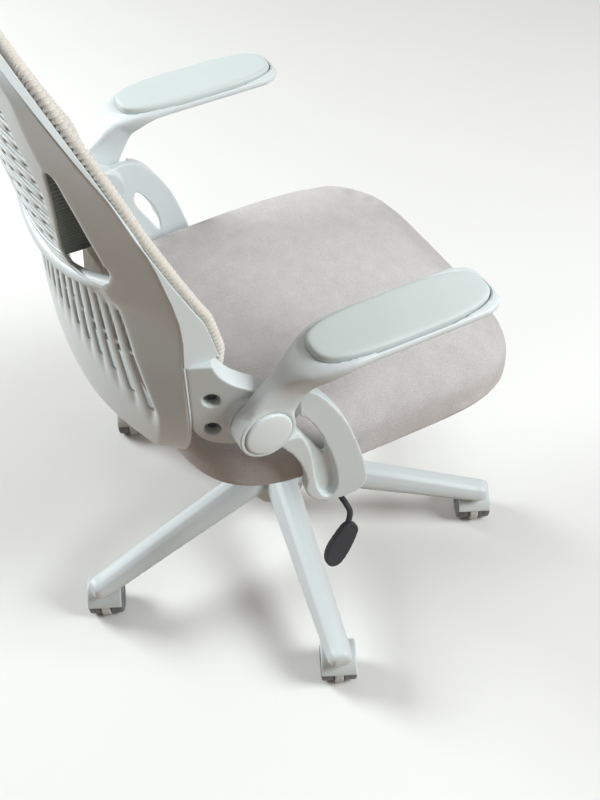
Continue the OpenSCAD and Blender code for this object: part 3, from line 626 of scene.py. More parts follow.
@dataclass(frozen=True)
class Weave(Finish):
    """Upholstery cloth: small uneven stitches with a melange of light and dark threads."""

    cell: float = 1.5
    melange: float = 0.16
    depth: float = 0.00035

    def paint(self, r: Recipe) -> None:
        """Stitches in the shade and relief, threads and soft clouds in the colour."""
        stitch = r.cells(1 / (self.cell * MM))
        thread = r.noise(0.9 / (self.cell * MM))
        cloud = r.noise(45.0, 4.0)
        flecks = r.maths("ADD", r.maths("MULTIPLY", thread, 0.65), r.maths("MULTIPLY", cloud, 0.35))
        colour = r.between(r.spread(flecks, -0.6, 1.6), *self.shades(self.melange))
        shaded = r.between(1.0, colour, r.spread(stitch, 1.06, 0.82), "MULTIPLY")
        r.settle(Base_Color=shaded, Roughness=0.9, Sheen_Weight=0.25, Sheen_Roughness=0.5)
        r.relief(r.maths("SUBTRACT", r.maths("MULTIPLY", thread, 0.8), stitch), self.depth, 0.8)


@dataclass(frozen=True)
class Knit(Finish):
    """Knitted mesh: upright cords with short cross stitches and dark gaps."""

    cord: float = 5.2
    stitch: float = 2.0

    def paint(self, r: Recipe) -> None:
        """Cords and stitches in colour and relief, with a little light let through."""
        cords = r.bands("X", math.tau / 20 / (self.cord * MM))
        stitches = r.bands("Z", math.tau / 20 / (self.stitch * MM), 0.6)
        height = r.maths("ADD", cords, r.maths("MULTIPLY", stitches, 0.45))
        gaps = r.spread(r.maths("MULTIPLY", height, 0.7), 0.0, 1.0)
        r.settle(
            Base_Color=r.between(gaps, dimmed(self.colour, 0.52), self.colour),
            Roughness=0.85, Sheen_Weight=0.2, Subsurface_Weight=0.6,
            Subsurface_Radius=(1.0, 0.85, 0.7), Subsurface_Scale=0.006,
        )
        fuzz = r.maths("MULTIPLY", r.noise(1500.0), 0.3)
        r.relief(r.maths("ADD", height, fuzz), 0.0006, 0.9)


PALE = Plastic("pale_plastic", "grey_plastic", tone(214, 222, 224))
CAP = Plastic("cap_plastic", "grey_plastic", tone(222, 229, 231), roughness=0.36)
SOFT_PAD = Plastic("soft_pad", "pad_plastic", tone(203, 213, 212), 0.55, grain=900.0, depth=0.00012)
SHADED_GREY = Plastic("shaded_grey_plastic", "grey_plastic", tone(120, 131, 128), roughness=0.55)
# Painted shade: the frame's pale grey plastic in the same slot, made darker for the comb flange that sits
# in shade behind the windows.
BLACK = Plastic("black_plastic", "black_plastic", tone(34, 35, 37), roughness=0.4, mottle=0.12)
DARK = Plastic("dark_plastic", "dark_plastic", tone(58, 60, 63), roughness=0.5, mottle=0.1)
TYRE = Plastic("tyre_plastic", "wheel_plastic", tone(112, 117, 120), roughness=0.5, mottle=0.1)
COATED = Metal("coated_steel", "black_steel", tone(36, 37, 39), roughness=0.42, metallic=0.6)
BRIGHT = Metal("bright_steel", "steel", tone(172, 175, 178), roughness=0.3)
SEAT_CLOTH = Weave("seat_cloth", "seat_fabric", tone(199, 196, 197))
BACK_KNIT = Knit("back_knit", "mesh_fabric", tone(230, 224, 215))
ROLL_KNIT = Weave("roll_knit", "mesh_fabric", tone(228, 223, 215), cell=0.9, melange=0.07, depth=0.0002)


class Side(Enum):
    """The sitter's sides: name of the side, and the sign of its X."""

    RIGHT = ("right", -1)
    LEFT = ("left", 1)

    @property
    def word(self) -> str:
        """The side's name in the nodes' names."""
        return self.value[0]

    @property
    def matrix(self) -> Matrix:
        """Matrix that carries a shape drawn on +X to the side."""
        return Matrix.Diagonal((self.value[1], 1, 1, 1))


@dataclass
class SubAssembly:
    """What the sub-assemblies share: putting a finished piece in the scene."""

    def show(
        self, name: str, shape: Shape, body: str, finish: Finish, nodes: Sequence[str], sharp: float = 40
    ) -> bpy.types.Object:
        """Makes a piece, dresses it and lets it ride.

        Args:
            name: name of the piece.
            shape: its mesh, in place; it is freed.
            body: body that it moves with.
            finish: its finish.
            nodes: nodes that it stands for.
            sharp: angle from which an edge stays sharp, in degrees.

        Returns:
            The piece.
        """
        obj = bare_object(as_mesh(shape, name), name)
        obj.data.materials.append(finish.material())
        obj.data.shade_smooth()
        obj.data.set_sharp_from_angle(angle=math.radians(sharp))
        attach(obj, body)
        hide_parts(*nodes)
        LOG.info("%s: %d faces, rides on %s", name, len(obj.data.polygons), body)
        return obj

    def dress(self, frame: dict, names: Iterable[str], finish: Finish) -> None:
        """Gives nodes that stay showing a finish."""
        for name in names:
            mesh = frame["nodes"][name].data
            mesh.materials.clear()
            mesh.materials.append(finish.material())


def subdivide(obj: bpy.types.Object) -> None:
    """Subdivides an object smoothly, once."""
    step = obj.modifiers.new("smooth", "SUBSURF")
    step.levels = step.render_levels = 1


def thicken(obj: bpy.types.Object, thickness: float, offset: float, even: bool = False) -> None:
    """Gives a sheet a thickness and subdivides it.

    Args:
        obj: the open sheet.
        thickness: its thickness in millimetres.
        offset: -1 lets it grow inwards, 0 to both sides.
        even: whether slanting corners keep the thickness.
    """
    wall = obj.modifiers.new("wall", "SOLIDIFY")
    wall.thickness, wall.offset, wall.use_even_offset = thickness * MM, offset, even
    subdivide(obj)


# Back frame and mesh


@dataclass(frozen=True)
class BackShape:
    """Lines that the back frame and the mesh share, in millimetres."""

    top: float = 1010
    bottom: float = 450
    half: float = 225
    seam_z: float = 641
    seam_y: float = 207
    lean: float = 150
    bowl: float = 70
    rim_z: float = 695
    apex_z: float = 1190
    fan_half: float = 17.6
    fan_foot_z: float = 530
    fan_top_z: float = 685
    front_shares: Table = (
        (0, 0), (0.14, 0.08), (0.2, 0.155), (0.31, 0.28), (0.415, 0.393),
        (0.52, 0.5), (0.63, 0.6), (0.75, 0.715), (1, 0.97),
    )
    crease_shares: Table = (
        (0, 0.287), (0.1, 0.272), (0.17, 0.28), (0.26, 0.32), (0.4, 0.405),
        (0.53, 0.51), (0.66, 0.64), (0.76, 0.76), (1, 1.04),
    )
    middle_shares: Table = (
        (0, 0.8), (0.03, 0.87), (0.07, 0.94), (0.11, 0.98), (0.2, 1), (0.3, 0.98), (0.39, 0.94),
        (0.44, 0.93), (0.47, 1.14), (0.54, 1.28), (0.65, 1.44), (0.82, 1.68), (1, 1.87),
    )
    front_set: float = 41
    corner_h: float = 150
    foot_h: float = 122
    foot_share: float = 0.62
    wall_w: float = 24
    bowl_share: float = 0.76

    def rise(self, z: float) -> float:
        """Share of the way from the seam to the top."""
        return (z - self.seam_z) / (self.top - self.seam_z)

    def front_y(self, z: float) -> float:
        """Front edge of the frame's side."""
        if z < self.seam_z:
            return self.seam_y
        return self.seam_y - self.front_set + self.lean * lookup(self.rise(z), self.front_shares)

    def crease_y(self, z: float) -> float:
        """Sharp crease between the frame's side band and its rear."""
        if z < self.seam_z:
            return self.seam_y + 3
        return self.seam_y - self.front_set + self.lean * lookup(self.rise(z), self.crease_shares)

    def middle_y(self, z: float) -> float:
        """Rear surface in the middle plane."""
        share = (z - self.bottom) / (self.top - self.bottom)
        return self.seam_y + self.bowl * lookup(share, self.middle_shares)

    def corner_w(self, w: float, z: float) -> float:
        """Half width at the upper corners of a piece that is w wide below them."""
        t = 0.97 * (z - self.top + self.corner_h) / self.corner_h
        return w * (1 - max(0.0, t) ** 3) ** (1 / 3)

    def half_w(self, z: float) -> float:
        """Half width of the frame."""
        t = (self.bottom + self.foot_h - z) / self.foot_h
        foot = self.half * mix(self.foot_share, 1, math.sqrt(max(0.0, 1 - max(0.0, t) ** 2)))
        return min(self.corner_w(self.half, z), foot)

    def reach(self, z: float) -> float:
        """Half width of the fan, where the rear turns into the side wall."""
        height = self.apex_z - min(max(z, self.fan_foot_z), self.fan_top_z)
        return min(height * math.tan(math.radians(self.fan_half)), self.half_w(z) - self.wall_w)

    def rear_y(self, x: float, z: float) -> float:
        """Rear surface at x and z: a shallow bowl, then a straighter side wall."""
        w = self.half_w(z)
        share, bend = min(1.0, abs(x) / w), self.reach(z) / w
        fall = self.bowl_share * bend**2.2
        if share < bend:
            return mix(self.middle_y(z), self.crease_y(z), fall * (share / bend) ** 2)
        return mix(self.middle_y(z), self.crease_y(z), mix(fall, 1, (share - bend) / (1 - bend)))

    def outline(self, step: float) -> list[Pair]:
        """Closed outline of the frame in X and Z, from the lower middle up the +X side.

        Args:
            step: distance between its points.

        Returns:
            The points, with a close pair at each seam.
        """
        levels = [self.bottom + k * 0.5 for k in range(int((self.top - self.bottom) * 2) + 1)]
        right = [(0.0, self.bottom)] + [(self.half_w(z), z) for z in levels] + [(0.0, self.top)]
        walked: list[Pair] = [right[0]]
        for a, b in zip(right, right[1:]):
            count = max(1, round(math.dist(a, b)))
            shares = [k / count for k in range(1, count + 1)]
            walked += [(mix(a[0], b[0], t), mix(a[1], b[1], t)) for t in shares]
        kept, since = [walked[0]], 0.0
        for last, p in zip(walked, walked[1:]):
            since += math.dist(p, last)
            if last[1] < self.seam_z <= p[1]:
                kept += [(p[0], self.seam_z - 0.4), (p[0], self.seam_z + 0.4)]
                since = 0.0
            elif since >= step and abs(p[1] - self.seam_z) > 2:
                kept.append(p)
                since = 0.0
        if math.dist(kept[-1], (0.0, self.top)) < step / 2:
            kept.pop()
        kept.append((0.0, self.top))
        return kept + [(-x, z) for x, z in reversed(kept[1:-1])]


@dataclass
class BackFrame(SubAssembly):
    """Back frame: side band, slotted fan shell, curved rim, lattice and windows."""

    shape: BackShape = field(default_factory=BackShape)
    wall: float = 3.6
    slots: int = 15
    split: int = 3
    wall_columns: int = 9
    flute: float = 4.0
    slot_foot_z: float = 556
    slot_foot_rise: float = 44
    slot_top_z: float = 686
    slot_top_fall: float = 14
    web: Pair = (628, 634)
    rim_w: float = 182
    rim_rise: float = 48
    rim_y: float = 292
    rim_turn: float = 39
    rim_h: float = 14
    rim_t: float = 15
    rim_lip: float = 6
    lattice_foot_z: float = 742
    lattice_top_z: float = 968
    lattice_pitch: float = 11
    lattice_slot: float = 5
    lattice_cell: int = 18
    lattice_bar: int = 4
    lattice_half: Table = ((742, 84), (822, 112), (896, 140), (970, 120))
    lattice_half_most: float = 118
    window_w: float = 168
    window_top_z: float = 896
    window_shares: Sequence[Pair] = (
        (0.57, 0.14), (0.78, 0.15), (1.04, 0.24), (1, 0.48), (0.99, 0.78), (1, 1),
        (0.93, 0.99), (0.84, 0.8), (0.75, 0.63), (0.6, 0.35), (0.54, 0.22),
    )
    snap: float = 7
    petal_foot: float = 34
    petal_top_z: float = 700
    band_w: float = 11
    band_soft: float = 0.8
    rail_w: float = 22
    rail_foot_z: float = 930
    rail_h: float = 60
    bead_rows: int = 3
    bead_rise: float = 15
    bead_pitch: float = 8.5
    bead_half: float = 84
    bead_r: float = 1.9
    comb_line: Sequence[Pair] = ((93, 736), (101, 765), (113, 793), (126, 822), (141, 856), (154, 890))
    comb_wave: float = 5.2
    comb_t: float = 1.6

    def build(self) -> None:
        """Builds every piece of the frame."""
        self.shell()
        self.band()
        self.rim()
        self.beads()
        for side in Side:
            self.comb(side)

    def piece(self, name: str, shape: Shape, sharp: float = 40, finish: Finish = PALE) -> bpy.types.Object:
        """Shows a piece of the back frame."""
        return self.show(name, shape, "seat_frame", finish, ["back_frame"], sharp)

    def window(self) -> Outline:
        """Outline of the window on +X, in X and Z."""
        foot = self.shape.rim_z
        outline = soften(scaled(self.window_shares, self.window_w, self.window_top_z - foot), 3)
        return [(x, foot + z) for x, z in outline]

    def column_x(self, j: int, z: float) -> float:
        """X of a column: even turns about the fan's apex, then even steps across the wall."""
        s, last = self.shape, self.slots * self.split
        reach, a = s.reach(z), abs(j)
        if a <= last:
            x = reach * math.tan(math.radians(s.fan_half * a / last)) / math.tan(math.radians(s.fan_half))
        else:
            x = mix(reach, s.half_w(z) - 0.3, (a - last) / self.wall_columns)
        return math.copysign(x, j)

    def levels(self) -> list[float]:
        """Heights of the shell's rows: foot, lower slots, web and upper slots, step, lattice, top."""
        s = self.shape
        web_foot, web_top = self.web
        foot = [mix(s.bottom, s.fan_foot_z, math.sin(math.pi / 2 * k / 9)) for k in range(9)]
        low = [s.fan_foot_z + 4.9 * k for k in range(20)]
        high = [web_foot, web_top] + [web_top + 4.6 * k for k in range(1, 12)]
        step = [691.0, 697.0, 703.0, 709.0, 716.0, 724.0, 732.0]
        starts = [self.lattice_foot_z + k * self.lattice_pitch for k in range(21)]
        lattice = [z for start in starts for z in (start, start + self.lattice_slot)]
        top = [978.0, 986.0, 994.0, 1002.0, s.top]
        low = [z for z in low if z < web_foot - 2]
        lattice = [z for z in lattice if z < self.lattice_top_z + 4]
        return foot + low + high + step + lattice + top

    def inwards(self, i: float) -> float:
        """How near the middle plane slot i is, from 0 at the last slot to 1."""
        return 1 - (i / ((self.slots - 1) / 2)) ** 2

    def slot_foot(self, i: float) -> float:
        """Lower end of slot i."""
        return self.slot_foot_z + self.slot_foot_rise * self.inwards(i)

    def slot_top(self, i: float) -> float:
        """Upper end of slot i."""
        return self.slot_top_z - self.slot_top_fall * self.inwards(i)

    def petal(self, j: int, z: float) -> float:
        """Stand-out of the petals between the slots, deepest along each slot's line."""
        if abs(j) > self.slots * self.split:
            return 0.0
        place = j / (2 * self.split)
        off = abs(place - round(place)) * 2
        depth = self.flute * (1 - off) ** 2.2
        foot = self.slot_foot(min(abs(place), (self.slots - 1) / 2))
        rise = ease((z - foot + self.petal_foot) / self.petal_foot)
        return -depth * rise * ease((self.petal_top_z - z) / 20)

    def open_face(self, j: float, z: float, x: float) -> bool:
        """Whether a face is part of an opening.

        Args:
            j: middle of the face, in columns from the middle plane.
            z: middle of the face, in height.
            x: middle of the face, sideways.

        Returns:
            True in a slot of the fan or of the lattice, and in a window.
        """
        pitch = 2 * self.split
        i = round(j / pitch)
        if abs(i) <= (self.slots - 1) / 2 and abs(j - i * pitch) < 1:
            if self.slot_foot(i) - 1 < z < self.web[0] or self.web[1] < z < self.slot_top(i):
                return True
        if inside((abs(x), z), self.window()):
            return True
        row = (z - self.lattice_foot_z) / self.lattice_pitch
        if row > 0 and z < self.lattice_top_z and (row % 1) * self.lattice_pitch < self.lattice_slot:
            limit = min(self.lattice_half_most, lookup(z, self.lattice_half))
            shift = 0 if int(row) % 2 else self.lattice_cell // 2
            return (abs(j) + shift) % self.lattice_cell > self.lattice_bar and abs(x) < limit
        return False

    def shell(self) -> None:
        """Rear shell with its flutes, slots, lattice and windows."""
        s = self.shape
        last = self.slots * self.split + self.wall_columns
        levels = self.levels()

        def place(i: int, j: int) -> Triple:
            """Corner of column i and row j."""
            z = levels[j]
            x = self.column_x(i - last, z)
            return (x, s.rear_y(x, z) + self.petal(i - last, z), z)

        bm = surface(2 * last, len(levels) - 1, place)
        gone = []
        for f in bm.faces:
            c = f.calc_center_median() / MM
            if self.open_face(self.column_of(c.x, c.z, last), c.z, c.x):
                gone.append(f)
        bmesh.ops.delete(bm, geom=gone, context="FACES")
        self.snap_to_window(bm)
        bmesh.ops.recalc_face_normals(bm, faces=bm.faces[:])
        if sum(f.normal.y for f in bm.faces) < 0:
            bmesh.ops.reverse_faces(bm, faces=bm.faces[:])
        thicken(self.piece("back_shell", bm, 180), self.wall, -1, even=True)

    def snap_to_window(self, bm: Shape) -> None:
        """Draws the stepped edge of each window onto its smooth outline."""
        window = self.window()
        low_x, low_z = (min(p[k] for p in window) - self.snap for k in (0, 1))
        high_x, high_z = (max(p[k] for p in window) + self.snap for k in (0, 1))
        for v in bm.verts:
            x, z = v.co.x / MM, v.co.z / MM
            if v.is_boundary and low_z < z < high_z and low_x < abs(x) < high_x:
                near = nearest((abs(x), z), window)
                if math.dist(near, (abs(x), z)) < self.snap:
                    x = math.copysign(near[0], x)
                    v.co = metres((x, self.shape.rear_y(x, near[1]), near[1]))

    def column_of(self, x: float, z: float, last: int) -> float:
        """Column place of a point, the reverse of column_x."""
        lo, hi = -last, last
        for j in range(lo, hi):
            a, b = self.column_x(j, z), self.column_x(j + 1, z)
            if a <= x <= b:
                return j + (x - a) / max(1e-9, b - a)
        return float(last)

    def band(self) -> None:
        """Side walls and top rail, one closed member round the frame."""
        s = self.shape
        path, soft = s.outline(6.0), self.band_soft
        count = len(path)

        def ring(k: int) -> list[Triple]:
            """Section of the member at point k."""
            x, z = path[k]
            before, after = path[k - 1], path[(k + 1) % count]
            dx, dz = after[0] - before[0], after[1] - before[1]
            size = math.hypot(dx, dz) or 1.0
            nx, nz = -dz / size, dx / size
            f, c = s.front_y(z), s.crease_y(z)
            wide = mix(self.band_w, self.rail_w, ease((z - self.rail_foot_z) / self.rail_h))

            def spot(inward: float, y: float) -> Triple:
                """Point that lies inwards of the outline."""
                return (x + nx * inward, y, z + nz * inward)

            def rear(inward: float) -> float:
                """Rear face, just under the shell."""
                px, pz = x + nx * inward, min(max(z + nz * inward, s.bottom), s.top)
                return max(f + 1.6, s.rear_y(px, pz) - 0.9)

            return [
                spot(0, f + soft), spot(0, max(c - soft, f + 1.2)),
                spot(0.7, max(f + 1.4, min(c - 0.2, rear(0.7)))), spot(wide / 2, rear(wide / 2)),
                spot(wide, rear(wide)), spot(wide, f + soft), spot(wide - soft, f), spot(soft, f),
            ]

        rings = [ring(k) for k in range(count)]
        self.piece("back_band", loop_tube(len(rings[0]), count, lambda i, j: rings[j][i]), 35)

    def rim_point(self, u: float) -> Triple:
        """Middle line of the curved rim, u from -1 to 1."""
        x, z = self.rim_w * u, self.shape.rim_z + self.rim_rise * u * u
        ends = ease((abs(u) - 0.77) / 0.16)
        return (x, mix(self.rim_y - self.rim_turn * u * u, self.shape.rear_y(x, z), ends), z)

    def rim(self) -> None:
        """Curved rim that overhangs the fan."""
        h, t, lip = self.rim_h, self.rim_t, self.rim_lip
        section = soften([(0, -h / 2), (0, h / 2), (-t, h / 2 + lip), (-t, lip / 2 - h / 2)], 3)
        steps = 72

        def place(i: int, j: int) -> Triple:
            """Corner i of section j."""
            x, y, z = self.rim_point(2 * j / steps - 1)
            return (x, y + section[i][0], z + section[i][1])

        self.piece("back_rim", tube(len(section), steps, place), 50)

    def beads(self) -> None:
        """Raised lines above the rim that repeat its curve."""
        s, steps, around = self.shape, 60, 8
        joined = bmesh.new()
        for row in range(self.bead_rows):
            rise, half = self.bead_rise + self.bead_pitch * row, self.bead_half + 4 * row

            def place(i: int, j: int) -> Triple:
                """Corner i of ring j."""
                u = 2 * j / steps - 1
                x = half * u
                z = s.rim_z + self.rim_rise * (x / self.rim_w) ** 2 + rise
                a = math.tau * i / around
                size = self.bead_r * min(1.0, 8 * (1 - abs(u)) + 0.15)
                return (x, s.rear_y(x, z) + size * math.cos(a), z + size * 1.3 * math.sin(a))

            joined.from_mesh(as_mesh(tube(around, steps, place), "bead"))
        self.piece("back_beads", joined)

    def comb(self, side: Side) -> None:
        """Ribbed flange behind a window, from the lattice towards the mesh, in the frame's grey plastic
        with painted shade.
        """
        s = self.shape
        path = spline(self.comb_line, 26)
        deep, along = 8, len(path) - 1

        def place(i: int, j: int) -> Triple:
            """Corner i across and j along."""
            x, z = path[j]
            rear = s.rear_y(x, z) - 1.5
            front = s.front_y(z) + 22
            wave = math.cos(math.tau * j / self.comb_wave)
            depth = mix(rear, front + 3 * wave, i / deep)
            return (x - 3 + 1.3 * wave * min(1, i / 2), depth, z)

        bm = moved(surface(deep, along, place), side.matrix)
        # The flange wears the darker grey: painted shade on the frame's own plastic.
        thicken(self.piece(f"back_comb_{side.word}", bm, 180, SHADED_GREY), self.comb_t, 0)


@dataclass
class MeshPanel(SubAssembly):
    """Knitted backrest with its rolled edge."""

    shape: BackShape = field(default_factory=BackShape)
    half: float = 220
    foot_z: float = 530
    roll: float = 12.4
    sag: float = 66
    fade_h: float = 150
    foot_lean: float = -12
    thick: float = 2.6
    rib: float = 6.4
    rib_shares: Sequence[float] = (1.0, 1.04, 1.04, 1.0, 0.86, 0.64, 0.64, 0.86)
    inset: float = 6
    foot_h: float = 160
    foot_share: float = 0.7
    edge_r: float = 6.5

    def half_w(self, z: float) -> float:
        """Half width of the panel."""
        t = max(0.0, (self.foot_z + self.foot_h - z) / self.foot_h)
        foot = self.half * mix(self.foot_share, 1, math.sqrt(max(0.0, 1 - t**2.4)))
        return min(self.shape.corner_w(self.half, z), foot)

    def edge_y(self, z: float) -> float:
        """Plane of the rolled edge."""
        s = self.shape
        lean = self.foot_lean * max(0.0, (s.seam_z - z) / (s.seam_z - self.foot_z))
        return s.front_y(max(z, s.seam_z)) - 0.3 - lean - 6.4

    def sag_at(self, u: float, z: float) -> float:
        """Hollow of the panel, u from -1 to 1 across it."""
        return self.sag * ease((self.shape.top - 24 - z) / self.fade_h) * max(0.0, 1 - u * u) ** 1.5

    def outline(self) -> list[Triple]:
        """Closed middle line of the roll, from the lower middle up the +X side."""
        r, top = self.edge_r, self.shape.top - 8
        turns = [(1 - math.cos(math.pi * k / 400)) / 2 for k in range(401)]
        side = [(self.half_w(z) - r, z) for z in (self.foot_z + (top - self.foot_z) * t for t in turns)]
        side = [(x, min(max(z, self.foot_z + r), top - r)) for x, z in side]
        flat = [(0.0, self.foot_z + r)] + side + [(0.0, top - r)]
        both = flat + [(-x, z) for x, z in reversed(flat[1:-1])]
        return [(x, self.edge_y(z) + self.sag_at(x / (self.half_w(z) - self.inset), z), z) for x, z in both]

    def build(self) -> None:
        """Builds the panel and its rolled edge."""
        self.panel()
        self.edge()

    def panel(self) -> None:
        """The knitted sheet."""
        columns, rows, top = 60, 84, self.shape.top - 14

        def place(i: int, j: int) -> Triple:
            """Corner of column i and row j."""
            z = mix(self.foot_z + self.inset, top, (1 - math.cos(math.pi * j / rows)) / 2)
            u = 2 * i / columns - 1
            return ((self.half_w(z) - self.inset) * u, self.edge_y(z) + self.sag_at(u, z) + 1.0, z)

        bm = surface(columns, rows, place)
        bmesh.ops.recalc_face_normals(bm, faces=bm.faces[:])
        obj = self.show("mesh_sheet", bm, "seat_frame", BACK_KNIT, ["mesh_panel"], sharp=180)
        thicken(obj, self.thick, 0)

    def edge(self) -> None:
        """Rolled edge with its cross ribs."""
        line = [Vector(p) for p in self.outline()]
        line.append(line[0])
        walk = [0.0]
        for a, b in zip(line, line[1:]):
            walk.append(walk[-1] + (b - a).length)
        total = walk[-1]
        steps, around = round(total / self.rib) * len(self.rib_shares), 20
        points, k = [], 0
        for n in range(steps):
            d = total * n / steps
            while walk[k + 1] < d:
                k += 1
            points.append(line[k].lerp(line[k + 1], (d - walk[k]) / max(1e-9, walk[k + 1] - walk[k])))
        for _ in range(30):
            points = [(points[n - 1] + points[n] * 2 + points[(n + 1) % steps]) / 4 for n in range(steps)]

        def place(i: int, j: int) -> Vector:
            """Corner i of ring j."""
            ahead = (points[(j + 1) % steps] - points[j - 1]).normalized()
            out = Vector((0, 1, 0)).cross(ahead).normalized()
            back = ahead.cross(out)
            radius = self.roll / 2 * self.rib_shares[j % len(self.rib_shares)]
            a = math.tau * i / around
            return points[j] + (out * math.cos(a) + back * math.sin(a)) * radius

        bm = loop_tube(around, steps, place)
        self.show("mesh_roll", bm, "seat_frame", ROLL_KNIT, ["mesh_panel"], sharp=180)


# Seat


@dataclass
class Seat(SubAssembly):
    """Upholstered cushion on its pan."""

    width: float = 502
    depth: float = 505
    rear: float = 205
    bottom_z: float = 382.4
    thick: float = 97.6
    corner: float = 4.3
    around: int = 96
    fall: float = 16
    shrink: Triple = (0.998, 0.998, 0.985)
    flat_h: float = 12
    held_h: float = 14
    travel: float = 7
    rings: Sequence[Pair] = (
        (0.1025, 0.285), (0.01, 0.25), (0.0, 0.16), (0.02, 0.09), (0.09, 0.03),
        (0.22, 0.005), (0.38, 0.0), (0.56, 0.008), (0.71, 0.035), (0.82, 0.085),
        (0.9, 0.16), (0.955, 0.27), (0.985, 0.44), (1.0, 0.7), (1.0, 0.9),
    )

    def place(self, i: int, j: int) -> Triple:
        """Corner i of ring j."""
        height, inset = self.rings[j]
        middle = self.rear - self.depth / 2
        x, y = rounded(self.width / 2, self.depth / 2, self.corner, math.tau * i / self.around)
        taper = 1 - 0.02 * max(0.0, y / (self.depth / 2))
        px, py = x * taper * (1 - inset), middle + y * (1 - inset)
        drop = self.fall * height**2 * max(0.0, (middle - py) / (self.depth / 2)) ** 3
        return (px, py, self.bottom_z + height * self.thick - drop)

    def build(self, frame: dict) -> None:
        """Builds the cushion and dresses what holds it."""
        bm = self.filled(tube(self.around, len(self.rings) - 1, self.place))
        obj = self.show("cushion", bm, "seat_frame", SEAT_CLOTH, ["seat_cushion"], sharp=180)
        subdivide(obj)
        self.dress(frame, ["seat_pan"], DARK)
        self.dress(frame, ["plate_bolts"], BRIGHT)

    def filled(self, bm: Shape) -> Shape:
        """Cushion filled by a cloth simulation under a little pressure.

        Args:
            bm: the slack cover.

        Returns:
            The filled cushion, no point more than a few millimetres from where it was.
        """
        middle = metres((0, self.rear - self.depth / 2, self.bottom_z + self.thick / 2))
        for v in bm.verts:
            if v.co.z > (self.bottom_z + self.flat_h) * MM:
                v.co = Vector(m + (c - m) * share for m, c, share in zip(middle, v.co, self.shrink))
        obj = bare_object(as_mesh(bm, "cover"), "cover")
        cover = obj.modifiers.new("cover", "REMESH")
        cover.mode, cover.voxel_size = "VOXEL", 6 * MM
        start = finished_mesh(obj)
        obj = bare_object(start, "cover")
        rest = [v.co.copy() for v in start.vertices]
        self.blow_up(obj, [k for k, p in enumerate(rest) if p.z < (self.bottom_z + self.held_h) * MM])
        bm = bmesh.new()
        bm.from_mesh(finished_mesh(obj))
        bpy.context.scene.frame_set(1)
        for v, p in zip(bm.verts, rest):
            step = v.co - p
            if step.length > self.travel * MM:
                v.co = p + step.normalized() * self.travel * MM
        return smoothed(bm, 3)

    def blow_up(self, obj: bpy.types.Object, held: list[int]) -> None:
        """Runs twenty frames of cloth under pressure.

        Args:
            obj: the cover.
            held: its points that stay where they are.
        """
        obj.vertex_groups.new(name="held").add(held, 1.0, "REPLACE")
        cloth = obj.modifiers.new("cloth", "CLOTH").settings
        cloth.quality, cloth.mass = 5, 0.3
        cloth.tension_stiffness = cloth.compression_stiffness = 12
        cloth.bending_stiffness = 0.6
        cloth.use_pressure, cloth.uniform_pressure_force = True, 5
        cloth.vertex_group_mass = "held"
        cloth.effector_weights.gravity = 0
        for number in range(1, 21):
            bpy.context.scene.frame_set(number)


# Brackets and arms


@dataclass(frozen=True)
class HubShape:
    """Place of the arm's hub, and what the bracket and the arm share, in millimetres."""

    y: float = 138
    z: float = 554
    boss_x: float = 257
    boss_inner_x: float = 231
    boss_r: float = 36
    pin_d: float = 16


